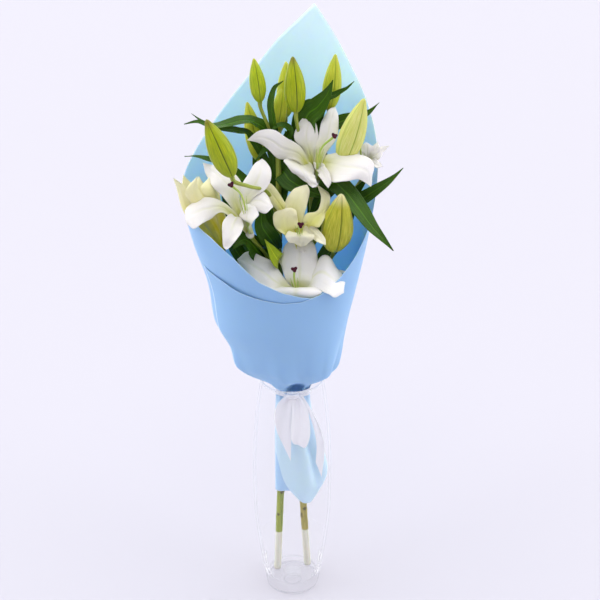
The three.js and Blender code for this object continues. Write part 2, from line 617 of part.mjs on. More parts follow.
// The green style with the six bare filaments round it.
function styleShape(name, grow = 0) {
  const { base, facing, style } = BLOOMS[name];
  const axis = point(facing).normalize();
  const foot = point(base).addScaledVector(axis, RECEPTACLE_HEIGHT + CLEARANCE);
  const parts = [rod([foot.toArray(), ...style], () => STYLE_RADIUS + grow, STALK_SIDES, STALK_STEPS)];
  const across = vector(1, 0, 0);
  const beside = across.clone().cross(axis).normalize();
  for (let k = 0; k < FILAMENT_COUNT; k++) {
    const angle = (2 * Math.PI * k) / FILAMENT_COUNT + FILAMENT_TURN;
    const out = across.clone().multiplyScalar(Math.cos(angle))
      .addScaledVector(beside, Math.sin(angle));
    const places = FILAMENT_ROUTE.map(([rise, reach]) => foot.clone()
      .addScaledVector(axis, rise).addScaledVector(out, reach).toArray());
    const radiusAt = () => FILAMENT_RADIUS + grow;
    parts.push(rod(places, radiusAt, FILAMENT_SIDES, FILAMENT_STEPS));
  }
  return join(parts);
}

function stigmaShape(name, grow = 0) {
  const [before, end] = BLOOMS[name].style.map(point);
  const along = end.clone().sub(before).normalize();
  const places = [CLEARANCE, STIGMA_LENGTH / 2, STIGMA_LENGTH]
    .map((distance) => end.clone().addScaledVector(along, distance).toArray());
  const swell = (t) => STIGMA_RADIUS * read(STIGMA_GIRTH, t) + grow;
  return rod(places, swell, BUD_SIDES, STIGMA_STEPS, STIGMA_LOBES);
}

// ---------------------------------------------------------------------- vase

const VASE_PROFILE = [
  [0, VASE_FOOT_RADIUS], [42, 46], [92, 53.2], [140, 57.4], [190, VASE_WAIST_RADIUS],
  [247, 56.5], [300, 52], [VASE_HEIGHT, VASE_RIM_RADIUS],
];

function vaseSolid() {
  const outer = VASE_PROFILE.slice(1).map(([z, r]) => new THREE.Vector2(r, z));
  outer[outer.length - 1].set(VASE_RIM_RADIUS, VASE_HEIGHT - VASE_EDGE);
  const inner = VASE_PROFILE.filter(([z]) => z > VASE_FLOOR + VASE_HEEL).reverse()
    .map(([z, r]) => new THREE.Vector2(r - VASE_WALL, z));
  const profile = [
    new THREE.Vector2(0, 0),
    new THREE.Vector2(VASE_FOOT_RADIUS - VASE_EDGE, 0),
    new THREE.Vector2(VASE_FOOT_RADIUS, VASE_EDGE),
    ...outer,
    new THREE.Vector2(VASE_RIM_RADIUS - VASE_EDGE, VASE_HEIGHT),
    ...inner,
    ...FLOOR_ROUND.map(([inset, rise]) => new THREE.Vector2(
      read(VASE_PROFILE, VASE_FLOOR) - VASE_WALL - inset,
      VASE_FLOOR + rise,
    )),
    new THREE.Vector2(0, VASE_FLOOR),
  ];
  return turned(profile);
}

// A lathe about Z from a profile in radius and height.
function turned(profile) {
  const geometry = new THREE.LatheGeometry(profile, VASE_SIDES);
  geometry.rotateX(Math.PI / 2);
  return solidOf(geometry);
}

function waterSolid(stems) {
  const inside = (z) => read(VASE_PROFILE, z) - VASE_WALL - WATER_GAP;
  const floor = VASE_FLOOR + CLEARANCE;
  const [low, high] = FLOOR_ROUND;
  const profile = [
    new THREE.Vector2(0, floor),
    new THREE.Vector2(inside(VASE_FLOOR) - high[0], floor + high[1]),
    new THREE.Vector2(inside(VASE_FLOOR) - low[0], floor + low[1]),
    new THREE.Vector2(inside(WATER_SHOULDER), WATER_SHOULDER),
    new THREE.Vector2(inside(WATER_LEVEL), WATER_LEVEL),
    new THREE.Vector2(0, WATER_LEVEL),
  ];
  return clearOf(turned(profile), stems);
}

// --------------------------------------------------------------------- paper

// The rolled sheet, outside face: height, left and right edges, half depth.
const PAPER_BODY = [
  [130, -26, 42, 22], [165, -27, 47, 23], [200, -27, 52, 24], [222, -27, 49, 24], [250, -27, 40, 23],
  [300, -26, 29, 20], [327, -25, 26, 19], [TIE_HEIGHT + 6, -25, 26, 19], [345.5, -31, 32, 25],
  [351.4, -40, 41, 30], [354, -46, 49, 34], [366, -64, 62, 48], [384, -84, 68, 60],
  [412, -92, 73, 68], [448, -110, 80, 78], [498, -116, 91, 85], [562, -134, 103, 96],
  [631, -148, 112, 106], [700, -156, 118, 112], [780, -164, 126, 117], [860, -170, 134, 120],
];

// Height of the upper edge against the angle round the sheet, in degrees
// from +X towards the back; below 0 lies the outer layer of the overlap.
const PAPER_RIM = [
  [-156, 540], [-132, 527], [-120, 517], [-105, 508], [-90, 503], [-75, 504], [-60, 512],
  [-45, 530], [-30, 554], [-15, 586], [0, 640], [15, 694], [30, 736], [45, 776], [60, 822],
  [71, 856], [90, 808], [105, 762], [120, 724], [135, 690], [150, 664], [165, 642],
  [180, 622], [195, 614], [210, 604], [225, 590], [240, 566], [255, 534], [270, 519],
  [285, 510], [312, 500],
];

// Height of the lower edge, in the same way.
const PAPER_FOOT = [
  [-156, 238], [-128, 187], [-100, 166], [-75, 153], [-45, 162], [-27, 179], [0, 198], [60, 200],
  [110, 196], [150, 184], [180, 166], [250, 172], [312, 160],
];

// Rows of the sheet: level ones through the waist, and rows that follow the
// two cut edges below and above them.
const PAPER_WAIST = [315, TIE_HEIGHT + 6, 347, 354, 368, 400, 480];
const PAPER_LEVELS = [0, 0.5, 1];
const PAPER_PROBE_ANGLE = 4;        // half the span over which the sheet's slope is read
const PAPER_PROBE_HEIGHT = 3;
const PAPER_FORWARD = 1;            // the roll's centre stands this much before the foot's

function paperSolid(grow = 0) {
  const [waist, shoulder] = [PAPER_WAIST[0], PAPER_WAIST[PAPER_WAIST.length - 1]];
  const heightsAt = (angle) => {
    const foot = read(PAPER_FOOT, angle);
    const top = read(PAPER_RIM, angle) + 3 * grow;
    const low = PAPER_LEVELS.slice(0, -1).map((s) => THREE.MathUtils.lerp(foot, waist, s));
    const high = PAPER_LEVELS.slice(1).map((s) => THREE.MathUtils.lerp(shoulder, top, s));
    return [...low, ...PAPER_WAIST, ...high];
  };
  const columns = (PAPER_FIRST_ANGLE - PAPER_LAST_ANGLE) / PAPER_ANGLE_STEP;
  const rows = PAPER_WAIST.length + 2 * PAPER_LEVELS.length - 3;
  const middle = (angle, z) => {
    const left = read(PAPER_BODY, z, 1);
    const right = read(PAPER_BODY, z, 2);
    const depth = read(PAPER_BODY, z, 3);
    const turn = radians(angle);
    const centre = (left + right) / 2;
    const reach = (right - left) / 2;
    return vector(centre + reach * Math.cos(turn), depth * Math.sin(turn) - PAPER_FORWARD, z);
  };
  const outward = (angle, z) => {
    const [probe, lift] = [PAPER_PROBE_ANGLE, PAPER_PROBE_HEIGHT];
    const round = middle(angle + probe, z).sub(middle(angle - probe, z));
    const rise = middle(angle, z + lift).sub(middle(angle, z - lift));
    return round.cross(rise).normalize();
  };
  const place = (i, j, face) => {
    const angle = PAPER_FIRST_ANGLE - j * PAPER_ANGLE_STEP;
    const z = heightsAt(angle)[i];
    const inset = PAPER_OVERLAP_STEP * (1 - j / columns) + PAPER_THICKNESS / 2;
    const offset = face * (PAPER_THICKNESS / 2 + grow) - inset;
    return middle(angle, z).addScaledVector(outward(angle, z), offset);
  };
  return sheet(rows, columns, place);
}

// -------------------------------------------------------------------- ribbon

// The hanging strips, each between its two edges from the knot to its end.
const RIBBON_STRIPS = [
  [
    [[-7, -25, 336], [-20, -27, 322], [-25, -28.5, 305], [-24, -29.5, 290], [-21, -30, 276]],
    [[1, -25, 336], [0, -29, 318], [-1, -31, 290], [-1, -31, 262], [-2, -30, 230]],
  ],
  [
    [[0, -26, 336], [0, -32, 318], [-1, -37, 292], [-1, -38, 272], [3, -35.5, 262], [6, -31, 268],
      [7, -29, 296], [5, -26, 330]],
    [[10, -26, 336], [20, -31, 322], [25, -37, 300], [25.5, -40, 276], [20, -38.5, 258],
      [14, -33, 258], [16, -30, 290], [9, -26, 330]],
  ],
  [
    [[9, -25, 336], [20, -25, 316], [30, -23.5, 284], [35, -21.5, 252], [34, -20.5, 222]],
    [[14, -25, 336], [26, -24, 314], [40, -22, 280], [47, -19.5, 244], [43, -19.5, 196]],
  ],
];

function strip(edges) {
  const lines = edges.map(smooth);
  const place = (i, j, side) => {
    const t = i / STRIP_ROWS;
    const across = lines[1].getPointAt(t).sub(lines[0].getPointAt(t)).normalize();
    const normal = across.cross(lines[0].getTangentAt(t)).normalize();
    return lines[j].getPointAt(t).addScaledVector(normal, (side * RIBBON_THICKNESS) / 2);
  };
  return sheet(STRIP_ROWS, 1, place);
}

// The ribbon is one length of satin: the band round the paper, the knot in
// front, and the tails and the loop that hang between the paper and the glass.
function ribbonSolid() {
  const outer = BAND_GAP + RIBBON_THICKNESS;
  const corners = [[BAND_GAP, -0.5], [outer, -0.5], [outer, 0.5], [BAND_GAP, 0.5]];
  const band = hoop(BAND_SIDES, (angle) => corners.map(([reach, rise]) => vector(
    TIE_CENTRE[0] + (TIE_RADII[0] + reach) * Math.cos(angle),
    TIE_CENTRE[1] + (TIE_RADII[1] + reach) * Math.sin(angle),
    TIE_HEIGHT + rise * RIBBON_BAND_WIDTH,
  )));
  const knot = rod(KNOT_ROUTE, (t) => KNOT_RADIUS * (1 + Math.sin(Math.PI * t)), KNOT_SIDES, KNOT_STEPS);
  return join([band, knot, ...RIBBON_STRIPS.map(strip)]);
}

// ------------------------------------------------------------------- assembly

const group = new THREE.Group();

function add(name, solid, color, roughness, options = {}) {
  const material = new THREE.MeshStandardMaterial({ color, roughness, metalness: 0, ...options });
  const mesh = new THREE.Mesh(geometryOf(solid), material);
  mesh.name = name;
  group.add(mesh);
}

const paper = paperSolid();
const paperCutter = paperSolid(CLEARANCE);
const bloomNames = Object.keys(BLOOMS);
const budNames = Object.keys(BUDS);
const styled = bloomNames.filter((name) => BLOOMS[name].style);

// Nearer neighbours come first; each later piece is cleared of the earlier ones.
const cutters = [paperCutter];
function settle(name, make, color, roughness) {
  const solid = clearOf(make(0), cutters);
  cutters.push(make(CLEARANCE));
  add(name, solid, color, roughness);
  return solid;
}

add('vase', vaseSolid(), '#eef3f6', 0.04, { transparent: true, opacity: 0.35 });
add('paper_wrap', paper, '#9fc8ee', 0.7);

settle('leafy_stem_left', (grow) => leafyStem('left', grow), '#4c7a2a', 0.5);
settle('leafy_stem_right', (grow) => leafyStem('right', grow), '#4c7a2a', 0.5);
const stemCutters = cutters.slice(1);
for (const name of budNames) {
  settle(`bud_${name}`, (grow) => budShape(name, grow), '#a9bf3a', 0.45);
}
for (const name of styled) {
  settle(`bloom_${name}_style`, (grow) => styleShape(name, grow), '#b9cc5a', 0.5);
  settle(`bloom_${name}_stigma`, (grow) => stigmaShape(name, grow), '#4a1424', 0.5);
}
for (const name of bloomNames) {
  settle(`bloom_${name}`, (grow) => bloomShape(name, grow), '#f6f4ea', 0.5);
}

add('water', waterSolid(stemCutters), '#e6f1f5', 0.02, { transparent: true, opacity: 0.3 });
add('ribbon', ribbonSolid(), '#f4f4fa', 0.4);

export default group;
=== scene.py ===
# %% [markdown]
# # Lilies in a glass vase
# A hand bouquet of white lilies: six blooms, nine buds and their leaves, rolled
# in light blue paper, tied with satin and standing in a clear barrel vase. The
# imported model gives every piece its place. Each cell below makes one kind of
# piece finely enough to be looked at closely.

import math

import bpy
import numpy as np
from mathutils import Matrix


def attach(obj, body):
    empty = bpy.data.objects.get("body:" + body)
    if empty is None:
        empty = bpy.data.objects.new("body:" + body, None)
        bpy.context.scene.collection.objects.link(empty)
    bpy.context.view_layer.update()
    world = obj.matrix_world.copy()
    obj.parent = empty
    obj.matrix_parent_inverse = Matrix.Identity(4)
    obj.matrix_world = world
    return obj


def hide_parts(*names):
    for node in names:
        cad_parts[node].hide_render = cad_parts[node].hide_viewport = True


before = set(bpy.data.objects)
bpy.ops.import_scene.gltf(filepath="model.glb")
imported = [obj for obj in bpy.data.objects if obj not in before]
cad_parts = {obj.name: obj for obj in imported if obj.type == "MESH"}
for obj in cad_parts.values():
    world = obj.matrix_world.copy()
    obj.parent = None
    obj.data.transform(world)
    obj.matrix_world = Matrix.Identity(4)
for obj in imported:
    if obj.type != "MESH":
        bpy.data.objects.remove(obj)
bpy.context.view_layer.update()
bpy.ops.object.select_all(action="DESELECT")
print("frame nodes:", len(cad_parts))

# %% [markdown]
# ## The camera
# The bouquet is seen from the front and from a little above, so the vase's
# mouth and foot show as ellipses. A 72 mm lens at about a metre and a half
# gives the same strong narrowing towards the foot.

# %% Camera
CAMERA_PLACE = (0.0114, -1.517, 1.146)
CAMERA_PITCH = 24.0
bpy.ops.object.camera_add(location=CAMERA_PLACE, rotation=(math.radians(90 - CAMERA_PITCH), 0, 0))
camera = bpy.context.object
camera.data.lens = 72
camera.data.sensor_width = 36
bpy.context.scene.camera = camera

# %% [markdown]
# ## Small helpers for shapes
# Petals, leaves, paper and stalks are all sheets that somebody bends. So each
# starts as a flat grid, and a formula says where its points go: u runs across
# the sheet and v along it. All tables are in millimetres.

# %% Shape helpers
MM = 0.001
LEAF_GROOVE = 0.7  # depth of the groove along a leaf's rib


def unit(vectors):
    vectors = np.asarray(vectors, float)
    return vectors / np.linalg.norm(vectors, axis=-1, keepdims=True)


def read(table, value):
    """A straight-line reading of a small table whose first column rises."""
    rows = np.array(table, float)
    return np.interp(value, rows[:, 0], rows[:, 1])


def flow(table, value, column=1):
    """A smooth reading of the same kind of table, without overshoot at its ends."""
    rows = np.array(table, float)
    x, y = rows[:, 0], rows[:, column]
    step, rise = np.diff(x), np.diff(y)
    slope = rise / step
    before, after = slope[:-1], slope[1:]
    inner = np.where(before * after > 0, 2 * before * after / (before + after + 1e-12), 0)
    tangent = np.concatenate([[slope[0]], inner, [slope[-1]]])
    value = np.clip(value, x[0], x[-1])
    k = np.clip(np.searchsorted(x, value, side="right") - 1, 0, len(step) - 1)
    t = (value - x[k]) / step[k]
    bend = (2 * t**3 - 3 * t**2 + 1) * y[k] + (3 * t**2 - 2 * t**3) * y[k + 1]
    lean = (t**3 - 2 * t**2 + t) * step[k] * tangent[k] + (t**3 - t**2) * step[k] * tangent[k + 1]
    return bend + lean


def smooth_curve(points, steps=160):
    """Points on a smooth line through a few chosen ones, evenly spaced, with their directions."""
    points = np.array(points, float)
    ends = np.vstack([2 * points[0] - points[1], points, 2 * points[-1] - points[-2]])
    line = []
    t = np.linspace(0, 1, 24, endpoint=False)[:, None]
    for a, b, c, d in zip(ends, ends[1:], ends[2:], ends[3:]):
        square, cube = 2 * a - 5 * b + 4 * c - d, 3 * b - a - 3 * c + d
        line.append(0.5 * (2 * b + (c - a) * t + square * t**2 + cube * t**3))
    line = np.vstack([*line, points[-1:]])
    length = np.concatenate([[0], np.cumsum(np.linalg.norm(np.diff(line, axis=0), axis=1))])
    even = np.linspace(0, length[-1], steps)
    line = np.stack([np.interp(even, length, line[:, k]) for k in range(3)], axis=1)
    return line, unit(np.gradient(line, axis=0))


def rows_at(v, *tables):
    """Points read from tables of equal length: v is 0 at the first row and 1 at the last."""
    rows = np.arange(len(tables[0]))
    k = v * (len(rows) - 1)
    return [np.stack([np.interp(k, rows, table[:, c]) for c in range(3)], axis=1) for table in tables]


def grid_piece(name, across, along, place, closed=False):
    """A flat grid whose points are put where place(u, v) says. A closed one is rolled into a tube."""
    bpy.ops.object.select_all(action="DESELECT")
    bpy.ops.mesh.primitive_grid_add(x_subdivisions=across, y_subdivisions=along, size=2, calc_uvs=True)
    piece = bpy.context.object
    piece.name = name
    mesh = piece.data
    flat = np.empty(len(mesh.vertices) * 3)
    mesh.vertices.foreach_get("co", flat)
    flat = flat.reshape(-1, 3)
    u, v = (flat[:, 0] + 1) / 2, (flat[:, 1] + 1) / 2
    mesh.vertices.foreach_set("co", (place(u, v) * MM).ravel())
    mesh.update()
    if closed:
        bpy.ops.object.mode_set(mode="EDIT")
        bpy.ops.mesh.select_all(action="SELECT")
        bpy.ops.mesh.remove_doubles(threshold=2e-6)
        bpy.ops.mesh.fill_holes(sides=0)
        bpy.ops.mesh.select_all(action="SELECT")
        bpy.ops.mesh.normals_make_consistent(inside=False)
        bpy.ops.object.mode_set(mode="OBJECT")
    bpy.ops.object.shade_smooth()
    return piece


def thicken(piece, millimetres, back_slot=0):
    """Gives a bent sheet its thickness. The far face may take the next material slot."""
    solid = piece.modifiers.new("thickness", "SOLIDIFY")
    solid.thickness = millimetres * MM
    solid.offset = 0
    solid.material_offset = back_slot
    bpy.context.view_layer.objects.active = piece
    bpy.ops.object.modifier_apply(modifier=solid.name)
    return piece


def paint(piece, *finishes):
    """Gives the piece its materials, the first for the near face."""
    for finish in finishes:
        piece.data.materials.append(finish)
    return piece


def joined(name, pieces):
    """Several meshes made one, as petals are at a bloom's base."""
    bpy.ops.object.select_all(action="DESELECT")
    for piece in pieces:
        piece.select_set(True)
    bpy.context.view_layer.objects.active = pieces[0]
    if len(pieces) > 1:
        bpy.ops.object.join()
    whole = bpy.context.object
    whole.name = name
    whole.data.name = name
    return whole


def settle(piece, node):
    """The piece hangs under the root and stands for a node of the frame, whose own part is hidden."""
    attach(piece, "root")
    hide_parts(node)
    return piece


def blade(points, face, width, wrap, ruffle, twist):
    """A long blade on a smooth line. Its upper face looks along `face`, `wrap` is half the
    angle, in radians, that its section is rolled through, and its rib is a groove."""
    line, directions = smooth_curve(points)
    face = unit(face)

    def place(u, v):
        spine, along = rows_at(v, line, directions)
        sideways = unit(np.cross(face, along))
        normal = np.cross(along, sideways)
        turn = twist * v[:, None]
        sideways, normal = (
            np.cos(turn) * sideways + np.sin(turn) * normal,
            np.cos(turn) * normal - np.sin(turn) * sideways,
        )
        across = 1 - 2 * u
        half = width(v) / 2
        angle = wrap(v)
        side = half * np.sin(angle * across) / angle
        rise = half * (1 - np.cos(angle * across)) / angle + ruffle(v, across)
        rise = rise - LEAF_GROOVE * np.exp(-((across / 0.1) ** 2)) * np.sin(np.pi * v) ** 0.5
        return spine + sideways * side[:, None] + normal * rise[:, None]

    return place


def rod(points, radius, flute=None):
    """A rod along a smooth line: radius(v) in millimetres, `flute(angle, v)` reshapes its section."""
    line, along = smooth_curve(points)
    start = unit(np.cross(along[0], [0.3, 1.0, 0.2]))
    sides = [start]
    for step in along[1:]:
        sides.append(unit(sides[-1] - step * np.dot(sides[-1], step)))
    sides = np.array(sides)
    other = np.cross(along, sides)

    def place(u, v):
        spine, side, beside = rows_at(v, line, sides, other)
        angle = 2 * np.pi * u
        reach = radius(v)
        if flute is not None:
            reach = reach + flute(angle, v)
        return spine + side * (reach * np.cos(angle))[:, None] + beside * (reach * np.sin(angle))[:, None]

    return place


# %% [markdown]
# ## Small helpers for finishes
# A finish is built from a few nodes. These helpers keep the wiring short: each
# makes one node, sets its values and says what feeds it.

# %% Finish helpers


class Finish:
    """One material with its shader, and short ways to add and wire nodes."""

    def __init__(self, name, **values):
        self.material = bpy.data.materials.new(name)
        self.material.use_nodes = True
        self.tree = self.material.node_tree
        self.shader = self.tree.nodes["Principled BSDF"]
        for key, value in values.items():
            self.set(key, value)

    def set(self, key, value):
        socket = self.shader.inputs[key.replace("_", " ")]
        if isinstance(value, bpy.types.NodeSocket):
            self.tree.links.new(value, socket)
        else:
            socket.default_value = value

    def node(self, kind, settings=None, **feeds):
        node = self.tree.nodes.new(kind)
        for key, value in (settings or {}).items():
            setattr(node, key, value)
        for key, value in feeds.items():
            numbered = key[0] == "i" and key[1:].isdigit()
            socket = node.inputs[int(key[1:]) if numbered else key.replace("_", " ")]
            if isinstance(value, bpy.types.NodeSocket):
                self.tree.links.new(value, socket)
            else:
                socket.default_value = value
        return node

    def uv(self):
        return self.node("ShaderNodeTexCoord").outputs["UV"]

    def object_place(self):
        return self.node("ShaderNodeTexCoord").outputs["Object"]

    def parts(self, vector):
        return self.node("ShaderNodeSeparateXYZ", Vector=vector).outputs

    def across_and_along(self):
        """u and v of the piece's own UV map, as two sockets."""
        across, along, _ = self.parts(self.uv())
        return across, along

    def math(self, operation, first, second=0.0, clamp=False):
        node = self.node("ShaderNodeMath", {"operation": operation, "use_clamp": clamp}, i0=first, i1=second)
        return node.outputs[0]

    def times(self, first, second):
        return self.math("MULTIPLY", first, second)

    def most(self, first, *others):
        for other in others:
            first = self.math("MAXIMUM", first, other)
        return first

    def distance(self, value, centre=0.5):
        """How far value is from centre, which for u and v is the middle of the piece."""
        return self.math("ABSOLUTE", self.math("SUBTRACT", value, centre))

    def range(self, value, low, high, start=0.0, end=1.0):
        node = self.node("ShaderNodeMapRange", {"interpolation_type": "SMOOTHSTEP"}, Value=value)
        for key, number in (("From Min", low), ("From Max", high), ("To Min", start), ("To Max", end)):
            node.inputs[key].default_value = number
        return node.outputs[0]

    def band(self, value, centre, reach, strength):
        """Full strength where value meets centre, fading to nothing within reach."""
        return self.range(self.distance(value, centre), 0.0, reach, strength, 0.0)

    def mix(self, factor, first, second):
        node = self.node("ShaderNodeMix", {"data_type": "RGBA"})
        for index, value in ((0, factor), (6, first), (7, second)):
            if isinstance(value, bpy.types.NodeSocket):
                self.tree.links.new(value, node.inputs[index])
            else:
                node.inputs[index].default_value = value
        return node.outputs[2]

    def noise(self, vector, scale, detail=3.0, stretch=None):
        if stretch:
            vector = self.node("ShaderNodeMapping", Vector=vector, Scale=stretch).outputs[0]
        return self.node("ShaderNodeTexNoise", Vector=vector, Scale=scale, Detail=detail).outputs[0]

    def bump(self, height, distance, strength):
        node = self.node("ShaderNodeBump", Height=height, Distance=distance * MM, Strength=strength)
        self.set("Normal", node.outputs[0])


def colour(red, green, blue):
    return (red, green, blue, 1.0)


# %% [markdown]
# ## Petal finish
# A lily petal is waxy white, with a yellow-green glow deep in the throat and
# along the middle rib, and fine veins that run from root to tip. Light passes
# through it, so a little subsurface scattering keeps the shadows soft. Both
# faces share the recipe. Bloom c is creamier than the rest, the face of d is
# lightened because it stands in shade, and the young bloom f is yellow-green.

# %% Petal materials


def petal_finish(name, white, throat, rib_strength, throat_end):
    finish = Finish(name, Roughness=0.45, Specular_IOR_Level=0.3,
                    Subsurface_Weight=0.35, Subsurface_Scale=0.004)
    finish.shader.inputs["Subsurface Radius"].default_value = (1.0, 0.95, 0.6)
    across, along = finish.across_and_along()
    off_middle = finish.distance(across)
    rib = finish.range(off_middle, 0.0, 0.09, 1.0, 0.0)
    rib = finish.times(rib, finish.range(along, 0.25, 0.95, rib_strength, 0.0))
    deep = finish.range(along, 0.1, throat_end, 1.3, 0.0)
    beside = finish.range(off_middle, 0.1, 0.5, 1.0, 0.55)
    glow = finish.math("MAXIMUM", finish.times(deep, beside), rib, clamp=True)
    base = finish.mix(glow, colour(*white), colour(*throat))
    soft = finish.range(finish.noise(finish.object_place(), 28.0), 0.35, 0.7, 0.0, 0.35)
    base = finish.mix(soft, base, colour(*(c * f for c, f in zip(white, (0.97, 0.96, 0.9)))))
    finish.set("Base_Color", base)
    finish.bump(finish.noise(finish.uv(), 5.0, 4.0, (14.0, 0.7, 1.0)), 0.7, 0.8)
    return finish.material


PETAL_WHITE = (0.905, 0.86, 0.82)
PETAL_CREAM = (0.97, 0.92, 0.56)
petal_face = petal_finish("lily petal, face", PETAL_WHITE, (0.6, 0.64, 0.07), 0.45, 0.7)
petal_back = petal_finish("lily petal, back", PETAL_WHITE, (0.55, 0.62, 0.1), 0.5, 0.5)
warm_face = petal_finish("lily petal, warm face", (0.93, 0.87, 0.58), (0.66, 0.66, 0.05), 0.5, 1.0)
warm_back = petal_finish("lily petal, warm back", (0.93, 0.88, 0.66), (0.62, 0.64, 0.05), 0.5, 0.6)
# Painted light: the face of bloom d is a lightened copy of the petal white, to lift it out of its shade.
painted_light_face = petal_finish("lily petal, face with painted light", (0.985, 0.95, 0.91), (0.62, 0.66, 0.08), 0.45, 0.55)
young_face = petal_finish("young petal, face", PETAL_CREAM, (0.86, 0.76, 0.04), 0.6, 0.85)
young_back = petal_finish("young petal, back", PETAL_CREAM, (0.72, 0.62, 0.005), 0.9, 1.0)

# %% [markdown]
# ## The blooms
# Each bloom has six petals that rise from the stalk as a throat, open out and
# curl back. For each bloom the table gives its root, the way its throat faces
# and the line of its style. For each petal it gives points along one edge, from
# root to tip, points along the other edge, and the tip where the two meet.

